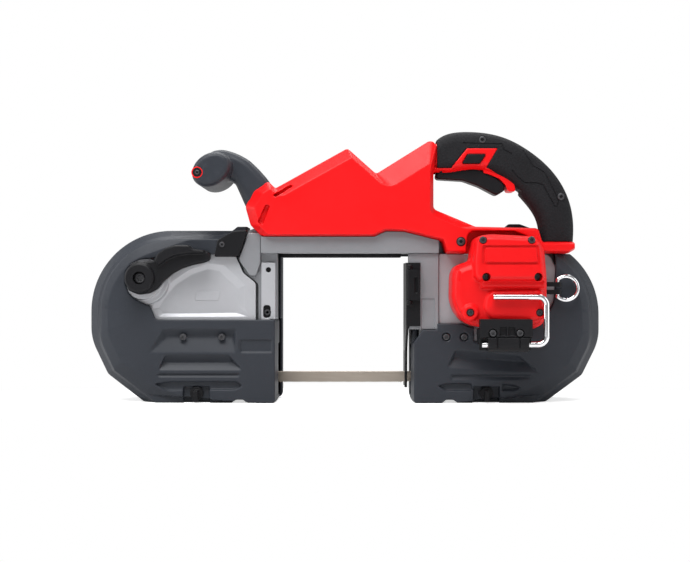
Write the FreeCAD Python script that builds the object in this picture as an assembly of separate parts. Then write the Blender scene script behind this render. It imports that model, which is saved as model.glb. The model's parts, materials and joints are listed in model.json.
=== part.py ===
import FreeCAD, Part
import math
import os

V = FreeCAD.Vector

# Driving sizes
throat_width = 127.0
throat_shift = 3.5
wheel_radius = 67.0
wheel_setback = 48.25
wheel_rise = 21.0
housing_margin = 6.75
neck_rise = 13.5
neck_height = 15.5
neck_cap = 6.0
neck_proud = 10.0
left_rise = 36.0
right_rise = 30.0

# Overall sizes that follow from them
wheel_spacing = throat_width + 2 * (wheel_radius + wheel_setback)
overall_length = wheel_spacing + 2 * (wheel_radius + housing_margin)
wheel_height = wheel_radius + wheel_rise
neck_bottom = 2 * wheel_radius + neck_rise
left_height = 2 * wheel_radius + left_rise
right_height = 2 * wheel_radius + right_rise

# Clearances
part_gap = 0.3
seat_gap = 0.1
shaft_clearance = 0.05
cut_margin = 1.0
tiny = 1e-6

# Layers in depth, from the wheel plane toward the viewer
wheel_width = 16.0
flange_width = 1.5
flange_height = 1.2
plate_gap = 6.5
plate_thickness = 10.0
mechanism_depth = 12.0
tension_cover_thickness = 3.5
cover_gap = 1.0
armor_wall = 5.0
armor_back = 8.0
split_offset = 12.0

wheel_front_y = -(wheel_width / 2 + flange_width)
plate_back_y = wheel_front_y - plate_gap
plate_front_y = plate_back_y - plate_thickness
cover_back_y = plate_front_y - mechanism_depth
cover_front_y = cover_back_y - tension_cover_thickness
armor_inner_y = cover_front_y - cover_gap
armor_front_y = armor_inner_y - armor_wall
armor_back_y = armor_back
split_y = plate_back_y - split_offset

# Places along the length and height
half_length = overall_length / 2
wheel_x = wheel_spacing / 2
throat_left_x = -(throat_width / 2 + throat_shift)
throat_right_x = throat_left_x + throat_width
neck_top = neck_bottom + neck_height

# Bumpers
shoe_stack = 6.0
armor_bevel = 12.0
armor_bevel_depth = 17.5
pocket_depth = 2.2
armor_screw_drop = 23.0
left_screw_reaches = [19.75, 57.75]
right_screw_reaches = [33.5, 51.0]

# Blade and guides
blade_width = 12.7
blade_thickness = 0.65
blade_tooth_depth = 1.0
blade_tooth_pitch = 2.54
blade_lift = 2.5
blade_twist = 60.0
twist_steps = 8
flat_share = 0.3
guide_reach = 20.0
roller_radius = 6.0
roller_length = 9.0
back_roller_length = 4.0
roller_pin_radius = 2.0
roller_step = 6.5
guide_block_length = 26.0
guide_block_depth = 22.0
guide_block_height = 14.0
guide_flange_height = 20.0
bracket_thickness = 3.4
bracket_hole_radius = 2.6

# Wheels and spindle
tyre_thickness = 3.0
rim_thickness = 7.0
web_thickness = 6.0
wheel_hub_radius = 15.0
wheel_hole_count = 6
wheel_hole_radius = 10.0
spindle_radius = 8.0
spindle_tip_radius = 3.0
tip_bearing_ring = 2.0
spindle_nut_radius = 12.0
spindle_nut_height = 5.0
bearing_ring = 6.0
bearing_width = 9.0

# Gears
gear_module = 1.5
drive_teeth = 50
step_pinion_teeth = 10
motor_module = 1.0
step_teeth = 45
motor_pinion_teeth = 10
gear_width = 8.0
gear_backlash = 0.16
pressure_angle = 25.0
addendum_share = 0.8
dedendum_share = 1.05
step_angle = 150.0
motor_angle = 54.0
step_shaft_radius = 4.0
gear_air = 1.0
gear_case_wall = 2.5
flank_steps = 4

# Motor
stator_radius = 24.0
stator_length = 19.0
slot_count = 9
rotor_radius = 12.8
motor_air = 0.6
winding_slot = 3.6
slot_wall = 2.0
motor_shaft_radius = 3.0
fan_radius = 21.0
fan_length = 2.7
fan_blades = 9
fan_hub_radius = 9.0
fan_blade_thickness = 1.2
motor_plate_thickness = 4.0
motor_bearing_ring = 5.0
motor_bearing_length = 5.0
motor_post_radius = 3.5
motor_can = 1.5

# Motor cover
cover_reach = 77.25
cover_drop = 13.0
cover_left = wheel_x - cover_reach
cover_bottom = wheel_height - cover_drop
cover_width = 91.5
cover_height = 94.0
cover_depth = 46.5
cover_box_depth = 12.0
cover_wall = 3.0
cover_bevel = 5.0
label_depth = 0.8
screw_head_radius = 4.0
screw_head_height = 2.8
screw_shank_radius = 2.0
screw_length = 14.0
screw_socket_radius = 1.8
screw_socket_depth = 1.6
screw_boss_radius = 5.0
short_boss_depth = 7.0

# Casing
casing_reach = 31.0
casing_tail = 47.25
casing_seat = 0.5
casing_left = throat_left_x - casing_reach
casing_length = wheel_x + casing_tail - casing_left
casing_bottom = neck_bottom - casing_seat
casing_height = 117.0
casing_half_depth = 27.0
casing_wall = 3.0
casing_bevel = 4.0
casing_bevel_depth = 6.0
casing_facet = 20.0
casing_facet_depth = 10.0
battery_length = 66.0
battery_height = 40.0
battery_depth = 10.0
battery_slope = 29.0
battery_groove = 3.0
battery_x = -12.0
battery_rise = 55.5
terminal_width = 24.0
terminal_depth = 6.0
terminal_thickness = 0.8

# Rear handle
handle_start = 20.0
handle_tail = 48.25
handle_rise = 9.5
handle_left = throat_right_x + handle_start
handle_length = wheel_x + handle_tail - handle_left
handle_bottom = neck_bottom + handle_rise
handle_height = 110.0
handle_depth = 34.0
handle_corner_share = 0.36
grip_thickness = 3.2
handle_wall = 2.6
trigger_width = 20.0
trigger_bevel = 1.5
button_travel = 4.0
button_proud = 1.2
switch_inset = 4.0
trigger_pin_radius = 1.6
trigger_pin_reach = 3.0
trigger_spring_radius = 2.6
board_start_share = 0.12
board_end_share = 0.34
board_thickness = 8.0

# Front handle
front_reach = 51.0
front_rise = 42.5
front_left = casing_left - front_reach
front_length = 76.0
front_bottom = neck_bottom + front_rise
front_height = 58.0
bar_length = 96.0
bar_hole_radius = 4.2
bar_ring = 1.4
bar_ring_depth = 6.0
arm_depth = 36.0

# Tension lever and carrier
lever_pivot_back = 21.0
lever_pivot_rise = 37.0
lever_length = 73.0
lever_thickness = 13.0
lever_rise = 4.0
lever_gap = 1.5
lever_bevel = 3.0
lever_shaft_radius = 6.0
lever_shaft_sink = 6.0
lever_boss_radius = 13.0
cam_radius = 12.0
cam_throw = 5.0
cam_gap = 1.3
cam_length = 6.0
axle_radius = 6.0
carrier_width = 36.0
carrier_height = 36.0
carrier_thickness = 6.0
spring_radius = 4.2
spring_wall = 1.2
spring_length = 22.0
rail_height = 5.0

# Guards and latches
guard_depth = 25.0
guard_wall = 2.5
guard_bevel = 8.0
guard_bevel_depth = 8.0
guard_inset = 1.5
latch_radius = 6.5
latch_shaft_radius = 3.0
latch_height = 9.5
latch_depth = 8.0
latch_fin_width = 4.0
latch_fin_length = 8.0
latch_pocket_width = 26.0
latch_pocket_height = 14.0
left_latch_reach = 32.75
right_latch_reach = 39.75

# Shoe
shoe_thickness = 2.5
shoe_back = 14.0
shoe_drop = 9.5
shoe_reach = 8.0
shoe_top = neck_bottom - shoe_drop
shoe_bottom = wheel_height - wheel_radius - shoe_reach
shoe_flange = 14.0
shoe_lock_height = 30.0
shoe_lock_width = 10.5
shoe_lock_depth = 5.0
shoe_lock_drop = 37.0
shoe_lock_z = shoe_top - shoe_lock_drop
shoe_pivot_inset = 3.0
lock_barrel_radius = 2.5
lock_pin_radius = 1.4
lock_ear_height = 4.0

# Hook and ring
hook_rod_radius = 2.8
hook_rise = 45.0
hook_arm = 50.0
hook_bend = 8.0
hook_back_reach = 49.75
hook_front_reach = 11.25
hook_drop = 15.0
hook_left = wheel_x - hook_back_reach
hook_right = wheel_x + hook_front_reach
hook_z = cover_bottom - hook_drop
hook_stand = 8.0
hook_block_reach = 51.75
hook_block_left = wheel_x - hook_block_reach
hook_block_width = 49.0
hook_block_height = 24.0
hook_barrel_radius = 7.0
hook_pad_depth = 26.0
ring_radius = 11.6
ring_wire_radius = 1.9
ring_reach = 14.0
ring_rise = 25.0
ring_pivot_x = cover_left + cover_width + ring_reach
ring_z = wheel_height + ring_rise
ring_open_angle = 45.0
ring_pin_length = 6.0
ring_lug_height = 4.5
ring_lug_radius = 4.0
ring_forward = 14.0

# Outlines as shares of each piece's own length and height: along, up, corner radius
housing_shares = [(1.0, 0.0, 0.02), (0.283, 0.0, 0.03), (0.09, 0.163, 0.06), (0.0, 0.37, 0.30), (0.0, 1.0,
                                                                                                 0.47)]
left_shelf_share = 0.482
right_shelf_share = 0.44
guard_end_shares = [(1.0, 1.0, 0.01)]
armor_end_shares = [(0.844, 1.0, 0.012), (0.795, 0.859, 0.012)]
armor_taper_shares = [0.0, 0.75, 0.83, 1.0, 0.75, 0.0, 0.0, 0.0, 0.15]
notch_shares = [(0.747, -0.01), (0.784, 0.02), (0.822, 0.02), (0.854, -0.01)]
left_window_shares = [(0.85, 0.482, 0.01), (0.358, 0.482, 0.02), (0.331, 0.56, 0.02), (0.25, 0.6, 0.08),
                      (0.197, 0.659, 0.06), (0.197, 0.812, 0.06), (0.245, 0.859, 0.03), (0.85, 0.859, 0.01)]
right_window_shares = [(0.82, 0.476, 0.01), (0.335, 0.476, 0.03), (0.292, 0.524, 0.03), (0.255, 0.61, 0.05),
                       (0.244, 0.848, 0.03), (0.27, 1.06, 0.02), (0.82, 1.06, 0.01)]
left_pocket_shares = [[(0.318, 0.335, 0.01), (0.382, 0.435, 0.02), (0.79, 0.435, 0.01), (0.79, 0.335, 0.02)],
                      [(0.355, 0.15, 0.02), (0.408, 0.285, 0.03), (0.741, 0.285, 0.03), (0.805, 0.19, 0.02),
                       (0.805, 0.15, 0.01)]]
right_pocket_shares = [[(0.37, 0.14, 0.02), (0.385, 0.30, 0.03), (0.73, 0.345, 0.03), (0.80, 0.28, 0.02),
                        (0.80, 0.14, 0.01)]]
shoulder_shares = [(0.735, 0.98), (0.784, 1.024), (0.84, 1.024), (0.83, 0.98)]
ridge_shares = [(0.2, 0.9), (0.245, 1.02), (0.40, 1.085), (0.46, 1.085), (0.56, 0.99)]
tension_plate_shares = [(0.887, 0.456, 0.02), (0.337, 0.456, 0.04), (0.208, 0.612, 0.06), (0.208, 0.824,
                                                                                           0.06),
                        (0.251, 0.882, 0.03), (0.768, 0.882, 0.02), (0.82, 0.753, 0.03), (0.887, 0.694, 0.03)]
tension_panel_shares = [(0.39, 0.497, 0.03), (0.78, 0.497, 0.03), (0.80, 0.56, 0.03), (0.75, 0.79, 0.03),
                        (0.44, 0.79, 0.03), (0.37, 0.6, 0.03)]
pillar_shares = [(0.90, 0.47, 0.01), (0.90, 0.69, 0.03), (0.828, 0.753, 0.03), (0.80, 0.84, 0.01),
                 (0.85, 1.0, 0.01), (0.90, 1.02, 0.01), (1.0, 1.02, 0.01), (1.0, 0.47, 0.01)]
gear_case_shares = [(0.0, 0.30, 0.05), (0.22, 0.30, 0.1), (0.32, 0.0, 0.1), (0.85, 0.0, 0.22), (1.0, 0.26,
                                                                                                0.25),
                    (1.0, 0.62, 0.25), (0.84, 1.0, 0.1), (0.0, 1.0, 0.02)]
cover_shares = [(0.2, 1.0, 0.08), (0.70, 1.0, 0.2), (0.935, 0.905, 0.1), (1.0, 0.69, 0.1), (1.0, 0.2, 0.2),
                (0.88, 0.0, 0.1), (0.18, 0.0, 0.2), (0.0, 0.21, 0.14), (0.0, 0.66, 0.1), (0.18, 0.766, 0.05)]
cover_box_shares = [(0.22, 0.985, 0.06), (0.69, 0.985, 0.2), (0.92, 0.895, 0.1), (0.975, 0.63, 0.08),
                    (0.22, 0.63, 0.06)]
label_shares = [(0.30, 0.65, 0.02), (0.89, 0.65, 0.02), (0.87, 0.83, 0.02), (0.30, 0.83, 0.02)]
cover_screw_shares = [(0.31, 0.89), (0.81, 0.89), (0.345, 0.52), (0.88, 0.52), (0.19, 0.16), (0.91, 0.16)]
motor_plate_shares = [(0.27, 0.27, 0.08), (0.53, 0.27, 0.08), (0.81, 0.33, 0.08), (0.88, 0.58, 0.08),
                      (0.81, 0.81, 0.08), (0.30, 0.81, 0.08)]
motor_post_shares = [(0.74, 0.38), (0.36, 0.76)]
casing_shares = [(0.051, 0.141, 0.03), (0.016, 0.237, 0.05), (0.0, 0.393, 0.05), (0.025, 0.529, 0.05),
                 (0.070, 0.607, 0.03), (0.091, 0.548, 0.02), (0.310, 0.885, 0.03), (0.397, 0.670, 0.03),
                 (0.583, 0.991, 0.05), (0.571, 0.658, 0.03), (0.571, 0.374, 0.04), (0.698, 0.226, 0.03),
                 (0.889, 0.214, 0.04), (0.901, 0.098, 0.02), (1.0, 0.098, 0.02), (1.0, 0.034, 0.02),
                 (0.978, 0.0, 0.02), (0.608, 0.0, 0.02), (0.596, 0.103, 0.02), (0.481, 0.182, 0.02),
                 (0.425, 0.185, 0.02), (0.392, 0.141, 0.02)]
casing_facet_shares = [0.3, 0.45, 0.5, 0.4, 0.2, 0.55, 0.25, 1.0, 0.2, 0.2, 0.35, 0.1, 0.1, 0.1, 0.1, 0.1,
                       0.1,
                       0.1, 0.1, 0.1, 0.1, 0.1]
handle_shares = [(0.0, 0.765, 0.0, 0.29), (0.072, 0.775, 0.0, 0.31), (0.157, 0.806, 0.0, 0.37),
                 (0.303, 0.827, 0.0, 0.36),
                 (0.486, 0.786, 7.0, 0.364), (0.641, 0.673, 29.0, 0.355), (0.763, 0.515, 49.0, 0.361),
                 (0.845, 0.343, 67.6, 0.335), (0.879, 0.18, 83.0, 0.309), (0.879, 0.0, 90.0, 0.30),
                 (0.879, -0.06, 90.0, 0.30)]
band_shares = [(0.0, 0.675), (0.42, 0.675), (0.64, 0.47), (0.60, 0.33), (0.0, 0.33)]
bezel_shares = [(0.165, 0.675), (0.272, 0.85), (0.478, 0.85), (0.40, 0.675)]
button_shares = [(0.24, 0.715), (0.277, 0.795), (0.396, 0.795), (0.357, 0.715)]
trigger_shares = [(0.075, 0.675, 0.02), (0.36, 0.675, 0.1), (0.47, 0.60, 0.1), (0.536, 0.525, 0.03),
                  (0.528, 0.476, 0.02), (0.475, 0.43, 0.04), (0.354, 0.515, 0.1), (0.25, 0.565, 0.1),
                  (0.061, 0.58, 0.03)]
trigger_pivot_share = (0.1, 0.648)
trigger_slot_shares = [(0.054, 0.3), (0.56, 0.3), (0.56, 0.64), (0.42, 0.715), (0.054, 0.715)]
casing_hollow_shares = [(0.06, 0.175), (0.03, 0.25), (0.015, 0.39), (0.035, 0.50), (0.075, 0.56), (0.092,
                                                                                                   0.50),
                        (0.308, 0.83), (0.395, 0.62), (0.55, 0.88), (0.55, 0.36), (0.60, 0.30), (0.60, 0.16),
                        (0.49, 0.215), (0.42, 0.22), (0.385, 0.175)]
shoe_shares = [(0.0, 1.0), (1.0, 1.0), (1.0, 0.02), (0.94, 0.0), (0.94, 0.29), (0.625, 0.29), (0.625, 0.0),
               (0.53, 0.0), (0.40, 0.32), (0.0, 0.5)]
lever_shares = [(-0.21, 0.01, 0.15), (-0.16, 0.12, 0.1), (-0.07, 0.17, 0.1), (0.16, 0.19, 0.05), (0.45,
                                                                                                  0.31, 0.3),
                (0.88, 0.345, 0.03), (0.955, 0.27, 0.03), (0.93, 0.195, 0.03), (0.68, 0.16, 0.3), (0.40,
                                                                                                   0.02, 0.3),
                (0.28, -0.14, 0.1), (0.14, -0.225, 0.1), (-0.03, -0.245, 0.1), (-0.19, -0.14, 0.1)]
lever_tab_shares = [(0.22, 0.22, 0.03), (0.34, 0.365, 0.04), (0.43, 0.415, 0.03), (0.66, 0.42, 0.03),
                    (0.74, 0.36, 0.03), (0.74, 0.32, 0.02), (0.52, 0.305, 0.1)]
switch_shares = (0.12, 0.22, 0.72, 0.80)
spring_share = 0.17
bar_shares = [(0.0, 0.46, 0.12), (0.22, 0.93, 0.24), (0.42, 0.985, 0.09), (0.53, 0.91, 0.09), (0.54, 0.66,
                                                                                               0.08),
              (0.41, 0.585, 0.1), (0.10, 0.33, 0.10)]
arm_shares = [(0.42, 0.985, 0.05), (0.645, 0.92, 0.2), (1.0, 0.46, 0.05), (0.78, 0.31, 0.02), (0.66, 0.0,
                                                                                               0.02),
              (0.575, 0.26, 0.1), (0.49, 0.54, 0.1), (0.41, 0.64, 0.05)]
bar_hole_share = (0.095, 0.59)
hook_screw_shares = [0.24, 0.76]


# Shape helpers
def box(x0, x1, y0, y1, z0, z1):
    return Part.makeBox(x1 - x0, y1 - y0, z1 - z0, V(x0, y0, z0))


def rod_y(x, z, radius, y0, y1):
    return Part.makeCylinder(radius, y1 - y0, V(x, y0, z), V(0, 1, 0))


def tube_y(x, z, outer, inner, y0, y1):
    return rod_y(x, z, outer, y0, y1).cut(rod_y(x, z, inner, y0 - cut_margin, y1 + cut_margin))


def rod_x(y, z, radius, x0, x1):
    return Part.makeCylinder(radius, x1 - x0, V(x0, y, z), V(1, 0, 0))


def scaled(shares, left, bottom, width, height):
    corners = []
    for share in shares:
        radius = share[2] * abs(height) if len(share) > 2 else 0
        corners.append((left + share[0] * width, bottom + share[1] * height, radius))
    return corners


def inset(corners, distances):
    count = len(corners)
    area = 0
    for i in range(count):
        area += corners[i - 1][0] * corners[i][1] - corners[i][0] * corners[i - 1][1]
    side = 1 if area > 0 else -1
    lines = []
    for i in range(count):
        x0, z0, r0 = corners[i]
        x1, z1, r1 = corners[(i + 1) % count]
        length = math.hypot(x1 - x0, z1 - z0)
        along = ((x1 - x0) / length, (z1 - z0) / length)
        move = side * distances[i]
        lines.append((x0 - along[1] * move, z0 + along[0] * move, along, distances[i]))
    moved = []
    for i in range(count):
        x0, z0, before, d0 = lines[i - 1]
        x1, z1, after, d1 = lines[i]
        cross = before[0] * after[1] - before[1] * after[0]
        step = ((x1 - x0) * after[1] - (z1 - z0) * after[0]) / cross
        shrink = (d0 + d1) / 2 if cross * side > 0 else -(d0 + d1) / 2
        radius = max(corners[i][2] - shrink, corners[i][2] / 4)
        moved.append((x0 + before[0] * step, z0 + before[1] * step, radius))
    return moved


def even_inset(corners, distance):
    return inset(corners, [distance] * len(corners))


def rounded_wire(corners, y):
    return plane_wire(corners, V(0, y, 0), V(1, 0, 0), V(0, 0, 1))


def plane_wire(corners, origin, along, up):
    spots = [origin + along * a + up * b for a, b, radius in corners]
    marks = []
    for i, spot in enumerate(spots):
        arriving = (spot - spots[i - 1]).normalize()
        leaving = (spots[(i + 1) % len(spots)] - spot).normalize()
        radius = corners[i][2]
        turn = arriving.getAngle(leaving)
        reach = radius * math.tan(turn / 2)
        middle = spot
        if radius > 0:
            inward = (leaving - arriving).normalize()
            middle = spot + inward * (radius / math.cos(turn / 2) - radius)
        marks.append((spot - arriving * reach, middle, spot + leaving * reach))
    edges = []
    for i, (start, middle, end) in enumerate(marks):
        last = marks[i - 1][2]
        if (start - last).Length > tiny:
            edges.append(Part.LineSegment(last, start).toShape())
        if (end - start).Length > tiny:
            edges.append(Part.Arc(start, middle, end).toShape())
    return Part.Wire(edges)


def prism(corners, y0, y1):
    return Part.Face(rounded_wire(corners, y0)).extrude(V(0, y1 - y0, 0))


def tapered(corners0, y0, corners1, y1):
    return Part.makeLoft([rounded_wire(corners0, y0), rounded_wire(corners1, y1)], True, True)


def largest(shape):
    return max(shape.Solids, key=lambda solid: solid.Volume)


def merged(shapes):
    result = shapes[0]
    for shape in shapes[1:]:
        result = result.fuse(shape)
    return result.removeSplitter()


# Outlines that several pieces share
def side_end(side):
    return throat_left_x if side < 0 else throat_right_x + shoe_stack


def side_height(side):
    return left_height if side < 0 else right_height


def shelf_height(side):
    return side_height(side) * (left_shelf_share if side < 0 else right_shelf_share)


def wall_inside(side):
    taper = armor_bevel * armor_taper_shares[-1]
    return side_end(side) + side * (armor_wall + taper + part_gap)


def side_corners(side, shares):
    outer = side * half_length
    return scaled(shares, outer, 0, side_end(side) - outer, side_height(side))


def casing_corners():
    return scaled(casing_shares, casing_left, casing_bottom, casing_length, casing_height)


def casing_space():
    front = split_y - casing_half_depth - seat_gap
    back = split_y + casing_half_depth + seat_gap
    space = prism(even_inset(casing_corners(), -seat_gap), front, back)
    return space.cut(wheel_space()).cut(motor_cover_space())


def wheel_space():
    return box(neck_end_x(), half_length, wheel_front_y - flange_width, half_length, 0,
               neck_top + flange_width)


def neck_end_x():
    return side_end(1) + guide_block_length


def motor_cover_corners():
    return scaled(cover_shares, cover_left, cover_bottom, cover_width, cover_height)


def motor_cover_space():
    grown = even_inset(motor_cover_corners(), -part_gap)
    return prism(grown, cover_front_y - half_length, cover_front_y + part_gap)


def drive_axis():
    return wheel_x, wheel_height


def step_axis():
    reach = gear_module * (drive_teeth + step_pinion_teeth) / 2
    turn = math.radians(step_angle)
    return wheel_x + reach * math.cos(turn), wheel_height + reach * math.sin(turn)


def motor_axis():
    x, z = step_axis()
    reach = motor_module * (step_teeth + motor_pinion_teeth) / 2
    turn = math.radians(motor_angle)
    return x + reach * math.cos(turn), z + reach * math.sin(turn)


def lever_axis():
    return -wheel_x - lever_pivot_back, wheel_height + lever_pivot_rise


def latch_x(side):
    return left_latch_reach - wheel_x if side < 0 else wheel_x - right_latch_reach


# Frame and bumpers
def main_frame():
    pieces = []
    for side in (-1, 1):
        corners = side_corners(side, housing_shares + guard_end_shares)
        wall = armor_wall + seat_gap
        corners = inset(corners, [wall, wall, wall, wall, wall, 0])
        pieces.append(prism(corners, plate_front_y, plate_back_y))
    neck = box(throat_left_x - neck_height, neck_end_x(), cover_back_y - neck_proud, plate_back_y,
               neck_bottom, neck_top + neck_cap)
    floor = box(throat_left_x, side_end(1), plate_back_y, armor_back_y, neck_bottom, neck_bottom + guard_wall)
    pillar = prism(side_corners(-1, pillar_shares), cover_back_y, plate_front_y)
    frame = merged(pieces + [neck, floor, pillar] + carrier_rails())
    frame = frame.cut(casing_space())
    for side in (-1, 1):
        end = side_end(side)
        guide_top = cut_z() + guide_block_height + guide_flange_height + roller_radius
        room = guide_reach + guide_block_length / 2 + cut_margin
        frame = frame.cut(box(min(end, end + side * room), max(end, end + side * room),
                              cover_back_y, plate_back_y + cut_margin, 0, guide_top))
        frame = frame.cut(box(min(end, wall_inside(side)), max(end, wall_inside(side)), cover_back_y,
                              plate_back_y + cut_margin, 0, shelf_height(side) + part_gap))
        frame = frame.cut(rod_y(latch_x(side), latch_height, latch_shaft_radius + shaft_clearance,
                                plate_front_y - cut_margin, plate_back_y + cut_margin))
        for x, z in armor_screw_places(side):
            frame = frame.cut(rod_y(x, z, screw_shank_radius + shaft_clearance, cover_back_y,
                                    plate_front_y + plate_thickness / 2 + seat_gap))
    x, z = drive_axis()
    seat = spindle_radius + shaft_clearance + bearing_ring + seat_gap
    frame = frame.cut(rod_y(x, z, seat, plate_front_y - cut_margin, plate_back_y + cut_margin))
    x, z = step_axis()
    frame = frame.cut(rod_y(x, z, step_shaft_radius + shaft_clearance, plate_front_y - cut_margin,
                            plate_back_y - plate_thickness / 4))
    slot_half = axle_radius + part_gap
    slide = 2 * cam_throw
    slot = box(-wheel_x, -wheel_x + slide, plate_front_y - cut_margin, plate_back_y + cut_margin,
               wheel_height - slot_half, wheel_height + slot_half)
    for along in (-wheel_x, -wheel_x + slide):
        slot = slot.fuse(rod_y(along, wheel_height, slot_half, plate_front_y - cut_margin,
                               plate_back_y + cut_margin))
    frame = frame.cut(slot)
    x, z = lever_axis()
    frame = frame.cut(rod_y(x, z, lever_shaft_radius + shaft_clearance, plate_front_y - cut_margin,
                            plate_front_y + plate_thickness / 2))
    return frame


def carrier_rails():
    left = -wheel_x - carrier_width / 2
    right = -wheel_x + carrier_width / 2
    front = plate_front_y - part_gap - carrier_thickness
    low = wheel_height - carrier_height / 2 - part_gap
    high = wheel_height + carrier_height / 2 + part_gap
    stop = right + spring_length
    lower = box(left, stop + rail_height, front, plate_front_y, low - rail_height, low)
    upper = box(-wheel_x + 2 * cam_throw, stop + rail_height, front, plate_front_y, high, high + rail_height)
    block = box(stop, stop + rail_height, front, plate_front_y, low, high)
    return [lower, upper, block]


def armor(side):
    shelf = left_shelf_share if side < 0 else right_shelf_share
    neck_share = armor_end_shares[1][0]
    corner_share = armor_end_shares[1][2]
    shares = housing_shares + armor_end_shares + [(neck_share, shelf, corner_share), (1.0, shelf,
                                                                                      corner_share)]
    corners = side_corners(side, shares)
    tapers = [armor_bevel * share for share in armor_taper_shares]
    taper_y = armor_front_y + armor_bevel_depth
    front = inset(corners, tapers)
    body = prism(corners, taper_y, armor_back_y).fuse(tapered(corners, taper_y, front, armor_front_y))
    top = shoulder_shares if side < 0 else ridge_shares
    top_front = taper_y if side < 0 else split_y + casing_half_depth + part_gap
    body = body.fuse(prism(side_corners(side, top), top_front, armor_back_y))
    open_edges = (5, 6, 7)
    walls = [-cut_margin if i in open_edges else armor_wall for i in range(len(corners))]
    deep = [-cut_margin if i in open_edges else armor_wall + tapers[i] for i in range(len(corners))]
    inner = inset(corners, walls)
    hollow = prism(inner, taper_y, armor_back_y + cut_margin)
    hollow = hollow.fuse(tapered(inner, taper_y, inset(corners, deep), armor_inner_y))
    seat_x = latch_x(side)
    half = latch_pocket_width / 2
    block = box(seat_x - half - guard_wall, seat_x + half + guard_wall, armor_inner_y,
                armor_inner_y + latch_depth,
                armor_wall / 2, latch_height + latch_pocket_height / 2 + guard_wall)
    body = body.cut(hollow).fuse(block)
    body = body.cut(box(seat_x - half, seat_x + half, armor_front_y - cut_margin,
                        armor_inner_y + latch_depth / 4,
                        0, latch_height + latch_pocket_height / 2))
    hole = latch_shaft_radius + shaft_clearance
    body = body.cut(rod_y(seat_x, latch_height, hole, armor_front_y,
                          armor_inner_y + latch_depth + cut_margin))
    window = side_corners(side, left_window_shares if side < 0 else right_window_shares)
    body = body.cut(prism(window, armor_front_y - cut_margin, plate_front_y))
    body = body.cut(prism(side_corners(side, notch_shares), armor_front_y - cut_margin,
                          armor_back_y + cut_margin))
    for shares in (left_pocket_shares if side < 0 else right_pocket_shares):
        mouth = side_corners(side, shares)
        floor = even_inset(mouth, pocket_depth)
        body = body.cut(tapered(even_inset(mouth, -pocket_depth), armor_front_y - pocket_depth,
                                floor, armor_front_y + pocket_depth))
    end = side_end(side)
    reach = armor_wall + cut_margin
    slot_top = cut_z() + guide_block_height + guide_flange_height
    body = body.cut(box(end - reach, end + reach, plate_back_y, armor_back_y + cut_margin, armor_wall,
                        slot_top))
    body = body.cut(casing_space())
    if side < 0:
        plate = even_inset(side_corners(side, tension_plate_shares), -part_gap)
        body = body.cut(prism(plate, armor_inner_y, plate_front_y))
    if side > 0:
        body = body.cut(motor_cover_space()).cut(hook_pad(part_gap))
        body = body.cut(box(cover_left, casing_left + casing_length + part_gap, armor_front_y - cut_margin,
                            wheel_front_y - flange_width + part_gap, casing_bottom - seat_gap, half_length))
    for x, z in armor_screw_places(side):
        body = body.cut(rod_y(x, z, screw_shank_radius + shaft_clearance, armor_front_y - cut_margin,
                              armor_inner_y + cut_margin))
        body = body.cut(rod_y(x, z, screw_head_radius + seat_gap, armor_front_y - cut_margin,
                              armor_front_y + screw_head_height))
    return body.removeSplitter()


def cut_z():
    return wheel_height - wheel_radius - part_gap - blade_thickness / 2 + blade_lift


def tension_cover():
    plate = prism(side_corners(-1, tension_plate_shares), cover_front_y, cover_back_y)
    panel = side_corners(-1, tension_panel_shares)
    raised = tapered(panel, cover_front_y, even_inset(panel, cover_bevel), cover_front_y - cover_bevel / 2)
    x, z = lever_axis()
    boss = rod_y(x, z, lever_boss_radius, armor_front_y, cover_front_y)
    hole = rod_y(x, z, lever_shaft_radius + shaft_clearance, armor_front_y - cut_margin,
                 cover_back_y + cut_margin)
    return merged([plate, raised, boss]).cut(hole)


def gear_case():
    left = neck_end_x() + part_gap
    right = wheel_x + gear_module * (drive_teeth / 2 + 1) + gear_air + cover_wall
    bottom = wheel_height - gear_module * (drive_teeth / 2 + 1) - gear_air - cover_wall
    corners = scaled(gear_case_shares, left, bottom, right - left, casing_bottom - seat_gap - bottom)
    back = plate_front_y - seat_gap
    case = prism(corners, cover_front_y, back)
    x, z = drive_axis()
    outer = tip_boss_radius() - gear_case_wall
    case = case.fuse(rod_y(x, z, tip_boss_radius(), cover_front_y - bearing_width, cover_front_y))
    inner = cover_front_y + gear_case_wall
    case = case.cut(rod_y(x, z, gear_module * (drive_teeth / 2 + 1) + gear_air, inner, back + cut_margin))
    case = case.cut(rod_y(x, z, outer, cover_front_y - bearing_width + gear_case_wall, back))
    x, z = step_axis()
    case = case.cut(rod_y(x, z, gear_module * (step_pinion_teeth / 2 + 1) + gear_air, inner,
                          back + cut_margin))
    case = case.cut(rod_y(x, z, step_shaft_radius + part_gap, cover_front_y - cut_margin, back))
    case = case.fuse(hook_pad(0)).removeSplitter()
    for x, z, face in hook_screw_places():
        case = case.cut(rod_y(x, z, screw_shank_radius + shaft_clearance, face,
                              cover_front_y - hook_pad_depth / 2 + seat_gap))
    for x, z in armor_screw_places(1):
        case = case.cut(rod_y(x, z, screw_shank_radius + shaft_clearance, cover_front_y - cut_margin,
                              back + cut_margin))
    return case


def tip_boss_radius():
    return spindle_tip_radius + shaft_clearance + tip_bearing_ring + seat_gap + gear_case_wall


def hook_pad(gap):
    left = hook_block_left - gap
    right = hook_block_left + hook_block_width + gap
    return box(left, right, cover_front_y - hook_pad_depth, cover_front_y + gear_case_wall, hook_z - gap,
               cover_bottom - seat_gap)


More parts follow.
